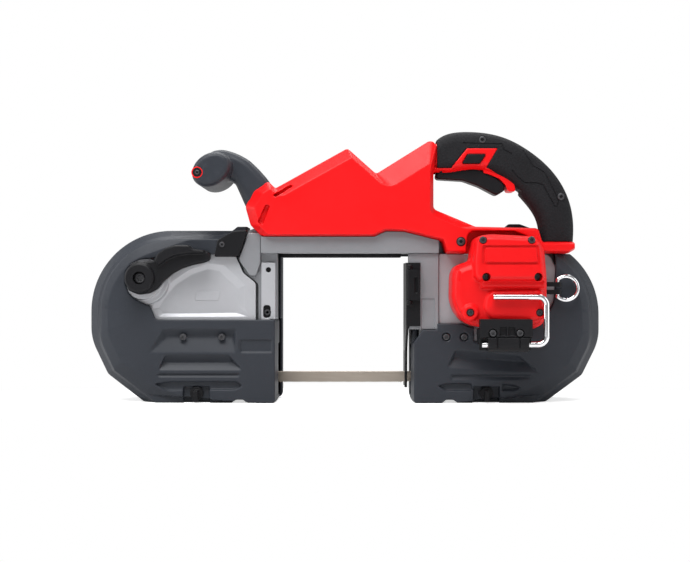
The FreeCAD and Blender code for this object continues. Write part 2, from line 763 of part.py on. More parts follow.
# Rear handle and casing
def handle_loft(first, last, shrink):
    wires = []
    for along, up, tilt, size in handle_shares[first:last]:
        origin = V(handle_left + along * handle_length, split_y, handle_bottom + up * handle_height)
        out = V(math.sin(math.radians(tilt)), 0, math.cos(math.radians(tilt)))
        a = size * handle_height / 2 - shrink
        b = handle_depth / 2 - shrink
        radius = handle_corner_share * handle_depth - shrink / 2
        wires.append(plane_wire([(a, b, radius), (a, -b, radius), (-a, -b, radius), (-a, b, radius)],
                                origin, out, V(0, 1, 0)))
    return Part.makeLoft(wires, True, False)


def handle_prism(shares, grow, half):
    corners = scaled(shares, handle_left, handle_bottom, handle_length, handle_height)
    return prism(even_inset(corners, -grow), split_y - half, split_y + half)


def casing_blank():
    corners = casing_corners()
    near = split_y - casing_half_depth + casing_facet_depth
    far = split_y + casing_half_depth - casing_bevel_depth
    facets = inset(corners, [casing_facet * share for share in casing_facet_shares])
    blank = prism(corners, near, far)
    blank = blank.fuse(tapered(corners, near, facets, split_y - casing_half_depth))
    return blank.fuse(tapered(corners, far, even_inset(corners, casing_bevel), split_y + casing_half_depth))


def casing_hollow_depths():
    near = split_y - casing_half_depth + casing_facet_depth + casing_wall / 2
    far = split_y + casing_half_depth - casing_wall
    return near, far


def battery_pad():
    half = battery_length / 2
    rise = battery_height / 2
    y0 = split_y + casing_half_depth - casing_wall
    y1 = split_y + casing_half_depth + battery_depth
    pad = box(-half, half, y0, y1, -rise, rise)
    for way in (-1, 1):
        low = min(way * rise, way * (rise - battery_groove))
        pad = pad.cut(box(-half - cut_margin, half + cut_margin, y1 - 2 * battery_groove, y1 - battery_groove,
                          low, low + battery_groove))
    pocket = terminal_width / 2 + seat_gap
    pad = pad.cut(box(-pocket, half + cut_margin, y1 - terminal_depth, y1 + cut_margin, -pocket, pocket))
    return battery_placed(pad)


def battery_placed(shape):
    shape.rotate(V(0, 0, 0), V(0, 1, 0), -battery_slope)
    shape.translate(V(battery_x, 0, neck_bottom + battery_rise))
    return shape


def battery_terminals():
    y1 = split_y + casing_half_depth + battery_depth - terminal_depth
    half = terminal_width / 2
    base = box(-half, half, y1, y1 + terminal_depth / 2, -half, half)
    blades = [base]
    for step in (-1, 0, 1):
        z = step * terminal_width / 3
        blades.append(box(-half / 2, half / 2, y1 + terminal_depth / 2, y1 + terminal_depth,
                          z - terminal_thickness / 2, z + terminal_thickness / 2))
    return battery_placed(merged(blades))


def casing_halves():
    outer = handle_loft(0, len(handle_shares), 0)
    core = handle_loft(0, len(handle_shares), grip_thickness)
    full = casing_blank().fuse(core)
    full = full.fuse(outer.common(handle_prism(band_shares, 0, handle_depth)))
    full = full.fuse(outer.common(handle_prism(bezel_shares, 0, handle_depth)))
    hollow = scaled(casing_hollow_shares, casing_left, casing_bottom, casing_length, casing_height)
    full = full.cut(prism(hollow, *casing_hollow_depths()))
    full = full.cut(handle_loft(1, len(handle_shares) - 2, grip_thickness + handle_wall))
    full = full.cut(handle_prism(trigger_slot_shares, 0, trigger_width / 2 + part_gap))
    full = full.cut(handle_prism(button_shares, part_gap, handle_depth))
    x, z = trigger_pivot()
    full = full.cut(rod_y(x, z, trigger_pin_radius + shaft_clearance,
                          split_y - trigger_width / 2 - trigger_pin_reach,
                          split_y + trigger_width / 2 + trigger_pin_reach))
    full = full.fuse(battery_pad()).cut(wheel_space()).cut(motor_cover_space())
    halves = []
    for way in (-1, 1):
        y0 = split_y + way * seat_gap / 2
        y1 = y0 + way * half_length
        half = full.common(box(-half_length, half_length, min(y0, y1), max(y0, y1), 0, overall_length))
        halves.append(largest(half))
    return halves


def trigger_pivot():
    return (handle_left + trigger_pivot_share[0] * handle_length,
            handle_bottom + trigger_pivot_share[1] * handle_height)


def rear_grip():
    grip = handle_loft(1, len(handle_shares) - 1, 0)
    grip = grip.cut(handle_loft(0, len(handle_shares), grip_thickness - seat_gap))
    grip = grip.cut(handle_prism(band_shares, seat_gap, handle_depth))
    grip = grip.cut(handle_prism(bezel_shares, seat_gap, handle_depth))
    grip = grip.cut(handle_prism(trigger_slot_shares, 0, trigger_width / 2 + part_gap))
    return grip.cut(casing_space())


def trigger():
    corners = scaled(trigger_shares, handle_left, handle_bottom, handle_length, handle_height)
    half = trigger_width / 2
    step = half - trigger_bevel
    body = prism(corners, split_y - step, split_y + step)
    for way in (-1, 1):
        body = body.fuse(tapered(corners, split_y + way * step, even_inset(corners, trigger_bevel),
                                 split_y + way * half))
    x, z = trigger_pivot()
    reach = half + trigger_pin_reach - part_gap
    return body.fuse(rod_y(x, z, trigger_pin_radius, split_y - reach, split_y + reach)).removeSplitter()


def lock_button():
    corners = scaled(button_shares, handle_left, handle_bottom, handle_length, handle_height)
    return prism(corners, split_y - handle_depth / 2 - button_proud,
                 split_y + handle_depth / 2 + button_proud - button_travel)


def switch_body():
    left, right, low, high = switch_shares
    x0 = handle_left + left * handle_length
    x1 = handle_left + right * handle_length
    z0 = handle_bottom + low * handle_height
    z1 = handle_bottom + high * handle_height
    return box(x0, x1, split_y - switch_half(), split_y + switch_half(), z0, z1)


def switch_half():
    return handle_depth / 2 - grip_thickness - handle_wall - switch_inset


def trigger_spring():
    x = handle_left + spring_share * handle_length
    low = handle_bottom + trigger_shares[0][1] * handle_height + seat_gap
    high = handle_bottom + switch_shares[2] * handle_height - seat_gap
    outer = Part.makeCylinder(trigger_spring_radius, high - low, V(x, split_y, low))
    return outer.cut(Part.makeCylinder(trigger_spring_radius - spring_wall, high - low, V(x, split_y, low)))


def control_board():
    low = casing_bottom + casing_hollow_shares[0][1] * casing_height + seat_gap
    near, far = casing_hollow_depths()
    return box(casing_left + board_start_share * casing_length, casing_left + board_end_share * casing_length,
               near + seat_gap, far - seat_gap, low, low + board_thickness)


# Front handle
def front_corners(shares):
    return scaled(shares, front_left, front_bottom, front_length, front_height)


def front_handle():
    half = bar_length / 2
    bar = prism(front_corners(bar_shares), split_y - half, split_y + half)
    handle = bar.fuse(prism(front_corners(arm_shares), split_y - arm_depth / 2, split_y + arm_depth / 2))
    x, z = bar_hole()
    handle = handle.cut(rod_y(x, z, bar_hole_radius, split_y - bar_length, split_y + bar_length))
    for way in (-1, 1):
        y = split_y + way * half
        seat = bar_ring_depth + seat_gap
        handle = handle.cut(rod_y(x, z, bar_hole_radius + bar_ring + seat_gap, y - seat, y + seat))
    return handle.cut(casing_space()).removeSplitter()


def bar_hole():
    return front_left + bar_hole_share[0] * front_length, front_bottom + bar_hole_share[1] * front_height


def handle_rings():
    x, z = bar_hole()
    near = split_y - bar_length / 2
    far = split_y + bar_length / 2
    rings = [tube_y(x, z, bar_hole_radius + bar_ring, bar_hole_radius, near, near + bar_ring_depth),
             tube_y(x, z, bar_hole_radius + bar_ring, bar_hole_radius, far - bar_ring_depth, far)]
    return Part.makeCompound(rings)


# Motor cover and motor
def motor_cover_front():
    return cover_front_y - cover_depth


def cover_screw_places():
    places = []
    for i, (along, up) in enumerate(cover_screw_shares):
        face = motor_cover_front() - (cover_box_depth if i < 2 else 0)
        places.append((cover_left + along * cover_width, cover_bottom + up * cover_height, face))
    return places


def motor_cover():
    corners = motor_cover_corners()
    back = cover_front_y - seat_gap
    front = motor_cover_front()
    cover = prism(corners, front + cover_bevel, back)
    cover = cover.fuse(tapered(corners, front + cover_bevel, even_inset(corners, cover_bevel), front))
    bulge = scaled(cover_box_shares, cover_left, cover_bottom, cover_width, cover_height)
    tip = front - cover_box_depth
    cover = cover.fuse(prism(bulge, tip + cover_bevel, front + cover_bevel))
    cover = cover.fuse(tapered(bulge, tip + cover_bevel, even_inset(bulge, cover_bevel), tip))
    label = scaled(label_shares, cover_left, cover_bottom, cover_width, cover_height)
    cover = cover.cut(prism(label, tip - cut_margin, tip + label_depth))
    room = cover_wall + cut_margin
    cover = cover.cut(prism(even_inset(corners, room), front + cover_wall, back + cut_margin))
    cover = cover.cut(prism(even_inset(bulge, cover_bevel + cut_margin), tip + cover_wall, front + room))
    for i, (x, z, face) in enumerate(cover_screw_places()):
        depth = back - face if i < 2 else short_boss_depth
        cover = cover.fuse(rod_y(x, z, screw_boss_radius, face + screw_head_height, face + depth))
    x, z = motor_axis()
    outer = motor_shaft_radius + shaft_clearance + motor_bearing_ring + seat_gap
    seat = front + cover_wall + motor_bearing_length
    cover = cover.fuse(rod_y(x, z, outer + cover_wall / 2, front + cut_margin, seat))
    cover = cover.cut(rod_y(x, z, outer, front + cover_wall, seat + cut_margin))
    x, z = drive_axis()
    cover = cover.cut(rod_y(x, z, tip_boss_radius() + part_gap, cover_front_y - bearing_width - part_gap,
                            back + cut_margin))
    for x, z, face in cover_screw_places():
        cover = cover.cut(rod_y(x, z, screw_head_radius + seat_gap, face - cut_margin,
                                face + screw_head_height))
        cover = cover.cut(rod_y(x, z, screw_shank_radius + shaft_clearance, face,
                                face + screw_length + cut_margin))
    return cover.removeSplitter()


def motor_layers():
    bearing = motor_cover_front() + cover_wall
    stator_front = bearing + motor_bearing_length + cut_margin
    stator_back = stator_front + stator_length
    fan_back = stator_back + motor_air + fan_length
    plate_front = fan_back + motor_air
    return bearing, stator_front, stator_back, fan_back, plate_front


def stator():
    bearing, front, back, fan_back, plate_front = motor_layers()
    x, z = motor_axis()
    inner = rotor_radius + motor_air
    ring = tube_y(x, z, stator_radius, inner, front, back)
    slot_in = inner + slot_wall
    slot_out = stator_radius - slot_wall
    for i in range(slot_count):
        slot = box(slot_in, slot_out, front - cut_margin, back + cut_margin, -winding_slot / 2,
                   winding_slot / 2)
        slot.rotate(V(0, 0, 0), V(0, 1, 0), i * 360 / slot_count)
        slot.translate(V(x, 0, z))
        ring = ring.cut(slot)
    return ring


def motor_plate():
    bearing, front, back, fan_back, plate_y = motor_layers()
    plate = prism(scaled(motor_plate_shares, cover_left, cover_bottom, cover_width, cover_height),
                  plate_y, plate_y + motor_plate_thickness)
    x, z = motor_axis()
    can = tube_y(x, z, stator_radius + motor_can, stator_radius + seat_gap, front, plate_y)
    plate = plate.fuse(can)
    for along, up in motor_post_shares:
        plate = plate.fuse(rod_y(cover_left + along * cover_width, cover_bottom + up * cover_height,
                                 motor_post_radius, plate_y, cover_front_y - seat_gap))
    outer = motor_shaft_radius + shaft_clearance + motor_bearing_ring + seat_gap
    plate = plate.cut(rod_y(x, z, outer, plate_y - cut_margin, plate_y + motor_plate_thickness + cut_margin))
    x, z = step_axis()
    return plate.cut(rod_y(x, z, step_shaft_radius + shaft_clearance, plate_y - cut_margin,
                           plate_y + motor_plate_thickness + cut_margin))


def rotor():
    bearing, front, back, fan_back, plate_y = motor_layers()
    x, z = motor_axis()
    shaft = rod_y(x, z, motor_shaft_radius, bearing + seat_gap, cover_front_y - cut_margin)
    return shaft.fuse(rod_y(x, z, rotor_radius, front, back))


def cooling_fan():
    bearing, front, back, fan_back, plate_y = motor_layers()
    x, z = motor_axis()
    fan = tube_y(x, z, fan_radius, motor_shaft_radius + shaft_clearance, fan_back - fan_length / 3, fan_back)
    for i in range(fan_blades):
        blade = box(fan_hub_radius, fan_radius - cut_margin, fan_back - fan_length, fan_back,
                    -fan_blade_thickness / 2, fan_blade_thickness / 2)
        blade.rotate(V(0, 0, 0), V(0, 1, 0), i * 360 / fan_blades)
        blade.translate(V(x, 0, z))
        fan = fan.fuse(blade)
    return fan.removeSplitter()


def involute_gear(teeth, module, x, z, y0, y1, start):
    pressure = math.radians(pressure_angle)
    pitch = module * teeth / 2
    base = pitch * math.cos(pressure)
    root = pitch - dedendum_share * module
    tip = pitch + addendum_share * module
    half = math.pi / (2 * teeth) - gear_backlash / (4 * pitch) + math.tan(pressure) - pressure
    low = max(root, base)
    flank = []
    for i in range(flank_steps + 1):
        radius = low + (tip - low) * i / flank_steps
        spread = math.acos(base / radius)
        flank.append((radius, half - math.tan(spread) + spread))
    points = []
    for i in range(teeth):
        middle = start + 2 * math.pi * i / teeth
        side = [(root, flank[0][1])] + flank if root < base else flank
        for radius, turn in side:
            points.append((radius, middle - turn))
        for radius, turn in reversed(side):
            points.append((radius, middle + turn))
    spots = [V(x + r * math.cos(a), y0, z + r * math.sin(a)) for r, a in points]
    return Part.Face(Part.makePolygon(spots + spots[:1])).extrude(V(0, y1 - y0, 0))


def gear_layers():
    drive_back = plate_front_y - (mechanism_depth + tension_cover_thickness - gear_case_wall - gear_width) / 2
    return drive_back - gear_width, drive_back


def drive_gear():
    y0, y1 = gear_layers()
    x, z = drive_axis()
    gear = involute_gear(drive_teeth, gear_module, x, z, y0, y1, math.radians(step_angle))
    return gear.cut(rod_y(x, z, spindle_radius + shaft_clearance, y0 - cut_margin, y1 + cut_margin))


def step_gear():
    y0, y1 = gear_layers()
    x, z = step_axis()
    bearing, front, back, fan_back, plate_y = motor_layers()
    facing = math.radians(step_angle + 180)
    pinion = involute_gear(step_pinion_teeth, gear_module, x, z, y0, y1, facing + math.pi / step_pinion_teeth)
    big_back = cover_front_y - gear_air
    big = involute_gear(step_teeth, motor_module, x, z, big_back - gear_width, big_back,
                        math.radians(motor_angle))
    shaft = rod_y(x, z, step_shaft_radius, plate_y + seat_gap, plate_back_y - plate_thickness / 3)
    return big.fuse(pinion).fuse(shaft)


def motor_pinion():
    x, z = motor_axis()
    back = cover_front_y - gear_air
    facing = math.radians(motor_angle + 180) + math.pi / motor_pinion_teeth
    gear = involute_gear(motor_pinion_teeth, motor_module, x, z, back - gear_width, back, facing)
    return gear.cut(rod_y(x, z, motor_shaft_radius + shaft_clearance, back - gear_width * 2,
                          back + cut_margin))


def bearings():
    x, z = drive_axis()
    bore = spindle_radius + shaft_clearance
    rings = [tube_y(x, z, bore + bearing_ring, bore, plate_front_y, plate_front_y + bearing_width)]
    bore = spindle_tip_radius + shaft_clearance
    rings.append(tube_y(x, z, bore + tip_bearing_ring, bore, spindle_front() - seat_gap, spindle_shoulder()))
    x, z = motor_axis()
    bore = motor_shaft_radius + shaft_clearance
    bearing, front, back, fan_back, plate_y = motor_layers()
    rings.append(tube_y(x, z, bore + motor_bearing_ring, bore, bearing + seat_gap,
                        bearing + motor_bearing_length))
    rings.append(tube_y(x, z, bore + motor_bearing_ring, bore, plate_y + seat_gap,
                        plate_y + motor_plate_thickness))
    return Part.makeCompound(rings)


def spindle_front():
    return cover_front_y - bearing_width + gear_case_wall + part_gap


def spindle_shoulder():
    return gear_layers()[0] - part_gap


# Wheels and blade
def wheel(x):
    half = wheel_width / 2
    rim = wheel_radius - tyre_thickness
    bore = spindle_radius + shaft_clearance
    hub = tube_y(x, wheel_height, wheel_hub_radius, bore, wheel_front_y, half + flange_width)
    web = tube_y(x, wheel_height, rim - rim_thickness, bore, -web_thickness / 2, web_thickness / 2)
    ring = tube_y(x, wheel_height, rim, rim - rim_thickness, -half, half)
    flange = tube_y(x, wheel_height, wheel_radius + flange_height, rim - rim_thickness, wheel_front_y, -half)
    for i in range(wheel_hole_count):
        turn = 2 * math.pi * i / wheel_hole_count
        reach = (rim - rim_thickness + wheel_hub_radius) / 2
        web = web.cut(rod_y(x + reach * math.cos(turn), wheel_height + reach * math.sin(turn),
                            wheel_hole_radius,
                            -web_thickness, web_thickness))
    return merged([hub, web, ring, flange])


def tyre(x):
    half = wheel_width / 2
    return tube_y(x, wheel_height, wheel_radius, wheel_radius - tyre_thickness + shaft_clearance, -half, half)


def drive_spindle():
    x, z = drive_axis()
    end = wheel_width / 2 + flange_width
    shaft = rod_y(x, z, spindle_radius, spindle_shoulder() + seat_gap, end)
    tip = rod_y(x, z, spindle_tip_radius, spindle_front(), spindle_shoulder() + part_gap)
    return merged([shaft, tip, rod_y(x, z, spindle_nut_radius, end, end + spindle_nut_height)])


def blade_section(x, z, turn):
    half = blade_width / 2
    thin = blade_thickness / 2
    across = V(0, math.cos(turn), -math.sin(turn))
    out = V(0, math.sin(turn), math.cos(turn))
    corners = [(half, thin, 0), (half, -thin, 0), (-half, -thin, 0), (-half, thin, 0)]
    return plane_wire(corners, V(x, 0, z), across, out)


def guide_x(side):
    return side_end(side) + side * guide_reach


def saw_blade():
    inner = wheel_radius + part_gap
    outer = inner + blade_thickness
    half = blade_width / 2
    pieces = [box(-wheel_x, wheel_x, -half, half, wheel_height + inner, wheel_height + outer)]
    for side in (-1, 1):
        ring = tube_y(side * wheel_x, wheel_height, outer, inner, -half, half)
        far = side * (wheel_x + half_length)
        keep = box(min(side * wheel_x, far), max(side * wheel_x, far), -half_length, half_length, 0,
                   half_length)
        pieces.append(ring.common(keep))
        end = guide_x(side) + side * guide_block_length / 2
        start = side * wheel_x + (end - side * wheel_x) * flat_share
        pieces.append(box(min(start, side * wheel_x), max(start, side * wheel_x), -half, half,
                          wheel_height - outer, wheel_height - inner))
        wires = []
        for i in range(twist_steps + 1):
            step = i / twist_steps
            share = step * step * (3 - 2 * step)
            x = start + (end - start) * step
            z = wheel_height - (inner + outer) / 2 + blade_lift * share
            wires.append(blade_section(x, z, math.radians(blade_twist) * share))
        pieces.append(Part.makeLoft(wires, True, False))
    pieces.append(toothed_span())
    return merged(pieces)


def toothed_span():
    left = guide_x(-1) - guide_block_length / 2
    right = guide_x(1) + guide_block_length / 2
    count = int((right - left) / blade_tooth_pitch)
    pitch = (right - left) / count
    half = blade_width / 2
    points = [(left, -half, 0), (right, -half, 0)]
    for i in reversed(range(count)):
        points.append((left + (i + 1) * pitch, half, 0))
        points.append((left + i * pitch + pitch / 3, half - blade_tooth_depth, 0))
    points.append((left, half, 0))
    turn = math.radians(blade_twist)
    across = V(0, math.cos(turn), -math.sin(turn))
    out = V(0, math.sin(turn), math.cos(turn))
    origin = V(0, 0, cut_z()) - out * (blade_thickness / 2)
    return Part.Face(plane_wire(points, origin, V(1, 0, 0), across)).extrude(out * blade_thickness)


# Blade guides
def guide_placed(shape, side):
    shape.rotate(V(0, 0, 0), V(1, 0, 0), -blade_twist)
    shape.translate(V(guide_x(side), 0, cut_z()))
    return shape


def roller_offset():
    return blade_thickness / 2 + part_gap + roller_radius


def back_offset():
    return blade_width / 2 + part_gap + roller_radius


def face_roller(side, way):
    roller = tube_y(side * roller_step, way * roller_offset(), roller_radius,
                    roller_pin_radius + shaft_clearance,
                    -roller_length / 2, roller_length / 2)
    return guide_placed(roller, side)


def back_roller(side):
    roller = Part.makeCylinder(roller_radius, back_roller_length,
                               V(-side * roller_step, -back_offset(), -back_roller_length / 2))
    bore = Part.makeCylinder(roller_pin_radius + shaft_clearance, back_roller_length * 2,
                             V(-side * roller_step, -back_offset(), -back_roller_length))
    return guide_placed(roller.cut(bore), side)


def guide_pins(side):
    pins = []
    top = -blade_width / 2 - blade_tooth_pitch - guide_block_height
    low = roller_length / 2 + part_gap
    for way in (-1, 1):
        pin = rod_y(side * roller_step, way * roller_offset(), roller_pin_radius, top + cut_margin, low)
        head = rod_y(side * roller_step, way * roller_offset(), roller_pin_radius * 2, low,
                     low + roller_pin_radius / 2)
        collar = rod_y(side * roller_step, way * roller_offset(), roller_pin_radius * 2,
                       top + guide_block_height + seat_gap, -low)
        pins.append(merged([pin, head, collar]))
    half = guide_block_depth / 2
    pins.append(Part.makeCylinder(roller_pin_radius, guide_block_depth,
                                  V(-side * roller_step, -back_offset(), -half)))
    return [guide_placed(pin, side) for pin in pins]


def guide_block(side):
    low = -blade_width / 2 - blade_tooth_pitch
    half = guide_block_length / 2
    deep = guide_block_depth / 2
    block = box(-half, half, low - guide_block_height, low, -deep, deep)
    slot = back_roller_length / 2 + part_gap
    x = -side * roller_step
    wide = roller_radius + part_gap * 2
    block = block.cut(box(x - wide, x + wide, low - guide_block_height - cut_margin, low + cut_margin,
                          -slot, slot))
    block = guide_placed(block, side)
    base = cut_z() + guide_block_height
    flange = box(guide_x(side) - half, guide_x(side) + half, cover_back_y, plate_back_y + seat_gap,
                 base, base + guide_flange_height + roller_radius)
    block = block.fuse(flange)
    for pin in guide_pins(side):
        block = block.cut(pin)
    return block.removeSplitter()


def left_guide_bracket():
    right = throat_left_x - flange_width
    left = right - shoe_flange
    inside = wall_inside(-1)
    low = cut_z() + guide_block_height
    shelf = shelf_height(-1) + part_gap
    top = shoe_top
    front = cover_back_y - bracket_thickness
    back = cover_back_y - seat_gap
    bracket = box(left, right, front, back, shelf, top).fuse(box(left, inside, front, back, low, shelf))
    x = (left + right) / 2
    for z in bracket_holes(shelf, top):
        bracket = bracket.cut(rod_y(x, z, bracket_hole_radius, front - cut_margin, back + cut_margin))
    return bracket.removeSplitter()


def bracket_holes(low, high):
    return [high - shoe_flange / 2, low + shoe_flange / 2]


def right_guide_bracket():
    left = throat_right_x + shoe_thickness + part_gap
    right = neck_end_x()
    shelf = shelf_height(1) + part_gap
    upper = box(left, right, armor_inner_y - armor_wall / 2, plate_front_y - seat_gap, shelf,
                neck_bottom - seat_gap)
    inside = wall_inside(1)
    low = cut_z() + guide_block_height
    lower = box(inside, right, cover_back_y - bracket_thickness, cover_back_y - seat_gap, low, shelf)
    return upper.fuse(lower).removeSplitter()


# Tension mechanism
def lever_corners(shares):
    x, z = lever_axis()
    return scaled(shares, x, z, lever_length, lever_length)


def lever_back():
    return armor_front_y - lever_gap


def tension_lever():
    back = lever_back()
    front = back - lever_thickness
    corners = lever_corners(lever_shares)
    lever = prism(corners, front + lever_bevel, back)
    lever = lever.fuse(tapered(corners, front + lever_bevel, even_inset(corners, lever_bevel), front))
    tab = lever_corners(lever_tab_shares)
    lever = lever.fuse(prism(tab, front - lever_rise, back))
    x, z = lever_axis()
    return lever.cut(rod_y(x, z, lever_shaft_radius + shaft_clearance, front - cut_margin, back + cut_margin))


def tension_cam():
    x, z = lever_axis()
    shaft = rod_y(x, z, lever_shaft_radius, lever_back() - lever_thickness + lever_shaft_sink,
                  plate_front_y + plate_thickness / 2 - seat_gap)
    back = plate_front_y - part_gap
    return shaft.fuse(rod_y(x - cam_throw, z, cam_radius, back - cam_length, back))


def tension_carrier():
    back = plate_front_y - part_gap
    front = back - carrier_thickness
    half = carrier_height / 2
    plate = box(-wheel_x - carrier_width / 2, -wheel_x + carrier_width / 2, front, back,
                wheel_height - half, wheel_height + half)
    x, z = lever_axis()
    left = x - cam_throw + cam_radius + cam_gap
    lug = box(left, left + carrier_thickness, front, back, wheel_height, z + carrier_thickness)
    hole = rod_y(-wheel_x, wheel_height, axle_radius + shaft_clearance, front - cut_margin, back + cut_margin)
    return plate.fuse(lug).cut(hole).removeSplitter()


def idler_axle():
    front = plate_front_y - part_gap - carrier_thickness
    end = wheel_width / 2 + flange_width + part_gap
    axle = rod_y(-wheel_x, wheel_height, axle_radius, front, end)
    return axle.fuse(rod_y(-wheel_x, wheel_height, axle_radius + tyre_thickness, end, end + tyre_thickness))


def idler_bush():
    return tube_y(-wheel_x, wheel_height, spindle_radius, axle_radius + shaft_clearance, wheel_front_y,
                  wheel_width / 2 + flange_width)


def tension_springs():
    start = -wheel_x + carrier_width / 2 + seat_gap
    y = plate_front_y - part_gap - spring_radius
    springs = []
    for way in (-1, 1):
        z = wheel_height + way * carrier_height / 3
        outer = rod_x(y, z, spring_radius, start, start + spring_length - 2 * seat_gap)
        springs.append(outer.cut(rod_x(y, z, spring_radius - spring_wall, start - cut_margin,
                                       start + spring_length)))
    return Part.makeCompound(springs)


# Guards and latches
def wheel_guard(side):
    corners = side_corners(side, housing_shares + guard_end_shares)
    reach = -2 * flange_width if side < 0 else 0
    outer = inset(corners, [guard_inset] * 5 + [reach])
    y0 = armor_back_y + part_gap
    y1 = y0 + guard_depth
    bend = y1 - guard_bevel_depth
    guard = prism(outer, y0, bend).fuse(tapered(outer, bend, even_inset(outer, guard_bevel), y1))
    inner = even_inset(outer, guard_wall)
    guard = guard.cut(prism(inner, y0 - cut_margin, bend))
    guard = guard.cut(tapered(inner, bend, even_inset(outer, guard_bevel + guard_wall), y1 - guard_wall))
    wall = side_end(side) + side * reach
    flange = box(min(wall, wall + side * guard_wall), max(wall, wall + side * guard_wall),
                 wheel_front_y - flange_width,
                 y0 + cut_margin, shelf_height(side) + part_gap, neck_bottom - part_gap)
    half = latch_shaft_radius * 2
    lug = box(latch_x(side) - half, latch_x(side) + half, y0, y0 + latch_depth, guard_inset + guard_wall / 2,
              latch_height + half)
    guard = merged([guard, flange, lug])
    return guard.cut(rod_y(latch_x(side), latch_height, latch_shaft_radius + part_gap, y0 - cut_margin,
                           y0 + latch_depth + cut_margin))


def guard_latch(side):
    x = latch_x(side)
    floor = armor_inner_y + latch_depth / 4 - part_gap
    knob = rod_y(x, latch_height, latch_radius, floor - latch_depth / 2, floor)
    fin = box(x - latch_fin_width / 2, x + latch_fin_width / 2, floor - latch_depth - latch_fin_width,
              floor - latch_depth / 4, latch_height - latch_fin_length, latch_height + latch_radius / 2)
    shaft = rod_y(x, latch_height, latch_shaft_radius, floor - seat_gap, armor_back_y + latch_depth / 2)
    return merged([knob, fin, shaft])


def neck_cover():
    left = throat_left_x + 2 * flange_width + part_gap
    right = side_end(1) - part_gap
    y0 = armor_back_y + seat_gap
    return box(left, right, y0, y0 + guard_wall, neck_bottom - guard_wall, neck_top)


# Shoe
def shoe_front_y():
    return armor_inner_y - armor_wall / 2 - part_gap - shoe_thickness


def shoe_plate():
    front = shoe_front_y()
    corners = scaled(shoe_shares, front, shoe_bottom, shoe_back - front, shoe_top - shoe_bottom)
    outline = plane_wire(corners, V(throat_right_x, 0, 0), V(0, 1, 0), V(0, 0, 1))
    side = Part.Face(outline).extrude(V(shoe_thickness, 0, 0))
    flange = box(throat_right_x, throat_right_x + shoe_flange, front, front + shoe_thickness,
                 shoe_bottom + shoe_shares[9][1] * (shoe_top - shoe_bottom), shoe_top)
    return merged([side, flange] + shoe_ears()).cut(lock_pin(lock_pin_radius + shaft_clearance))


def lock_pivot():
    return throat_right_x + shoe_pivot_inset, shoe_front_y() - part_gap - lock_barrel_radius


def shoe_ears():
    x, y = lock_pivot()
    ears = []
    for low in (shoe_lock_z - part_gap - lock_ear_height, shoe_lock_z + shoe_lock_height + part_gap):
        ear = box(x - lock_barrel_radius, x + lock_barrel_radius, y, shoe_front_y() + shoe_thickness / 2,
                  low, low + lock_ear_height)
        ears.append(ear.fuse(Part.makeCylinder(lock_barrel_radius, lock_ear_height, V(x, y, low))))
    return ears


def lock_pin(radius):
    x, y = lock_pivot()
    length = shoe_lock_height + 2 * lock_ear_height
    return Part.makeCylinder(radius, length, V(x, y, shoe_lock_z - lock_ear_height))


def shoe_lock():
    x, y = lock_pivot()
    back = shoe_front_y() - part_gap
    plate = box(x, x + shoe_lock_width, back - shoe_lock_depth, back, shoe_lock_z,
                shoe_lock_z + shoe_lock_height)
    low = shoe_lock_z + shoe_lock_height / 4
    high = shoe_lock_z + shoe_lock_height * 3 / 4
    window = box(x + shoe_lock_width / 2, x + shoe_lock_width * 3 / 4, back - shoe_lock_depth - cut_margin,
                 back - shoe_lock_depth / 2, low, high)
    barrel = Part.makeCylinder(lock_barrel_radius, shoe_lock_height, V(x, y, shoe_lock_z))
    return merged([plate.cut(window), barrel, lock_pin(lock_pin_radius)])


# Hook and ring
def hook_y():
    return motor_cover_front() - hook_stand


def hook_bracket():
    right = hook_block_left + hook_block_width
    front = hook_y() - hook_barrel_radius
    low = hook_z - hook_barrel_radius
    pad_front = cover_front_y - hook_pad_depth - seat_gap
    face = motor_cover_front() - part_gap
    rear = box(hook_block_left, right, face, pad_front, hook_z, cover_bottom - part_gap)
    plate = box(hook_block_left, right, front, face, hook_z, hook_z + hook_block_height)
    barrel = rod_x(hook_y(), hook_z, hook_barrel_radius, hook_block_left, right)
    block = merged([rear, plate, barrel])
    block = block.cut(rod_x(hook_y(), hook_z, hook_rod_radius + shaft_clearance, hook_block_left - cut_margin,
                            right + cut_margin))
    for x, z, face in hook_screw_places():
        block = block.cut(rod_y(x, z, screw_shank_radius + shaft_clearance, front - cut_margin,
                                pad_front + cut_margin))
        block = block.cut(rod_y(x, z, screw_head_radius + seat_gap, front - cut_margin,
                                front + screw_head_height))
    return block


def hook_screw_places():
    z = hook_z + hook_barrel_radius + screw_head_radius
    face = hook_y() - hook_barrel_radius
    return [(hook_block_left + hook_block_width * share, z, face) for share in hook_screw_shares]


def hang_hook():
    y = hook_y()
    top = hook_z + hook_rise
    low_turn = V(hook_right - hook_bend, y, hook_z + hook_bend)
    high_turn = V(hook_right - hook_bend, y, top - hook_bend)
    diagonal = V(1, 0, 0) * (hook_bend * math.sqrt(2) / 2)
    lift = V(0, 0, 1) * (hook_bend * math.sqrt(2) / 2)
    edges = [Part.LineSegment(V(hook_left, y, hook_z), V(hook_right - hook_bend, y, hook_z)).toShape(),
             Part.Arc(V(hook_right - hook_bend, y, hook_z), low_turn + diagonal - lift,
                      V(hook_right, y, hook_z + hook_bend)).toShape(),
             Part.LineSegment(V(hook_right, y, hook_z + hook_bend), V(hook_right, y,
                                                                      top - hook_bend)).toShape(),
             Part.Arc(V(hook_right, y, top - hook_bend), high_turn + diagonal + lift,
                      V(hook_right - hook_bend, y, top)).toShape(),
             Part.LineSegment(V(hook_right - hook_bend, y, top), V(hook_right - hook_arm, y, top)).toShape()]
    profile = Part.Wire([Part.makeCircle(hook_rod_radius, V(hook_left, y, hook_z), V(1, 0, 0))])
    return Part.Wire(edges).makePipeShell([profile], True, True)


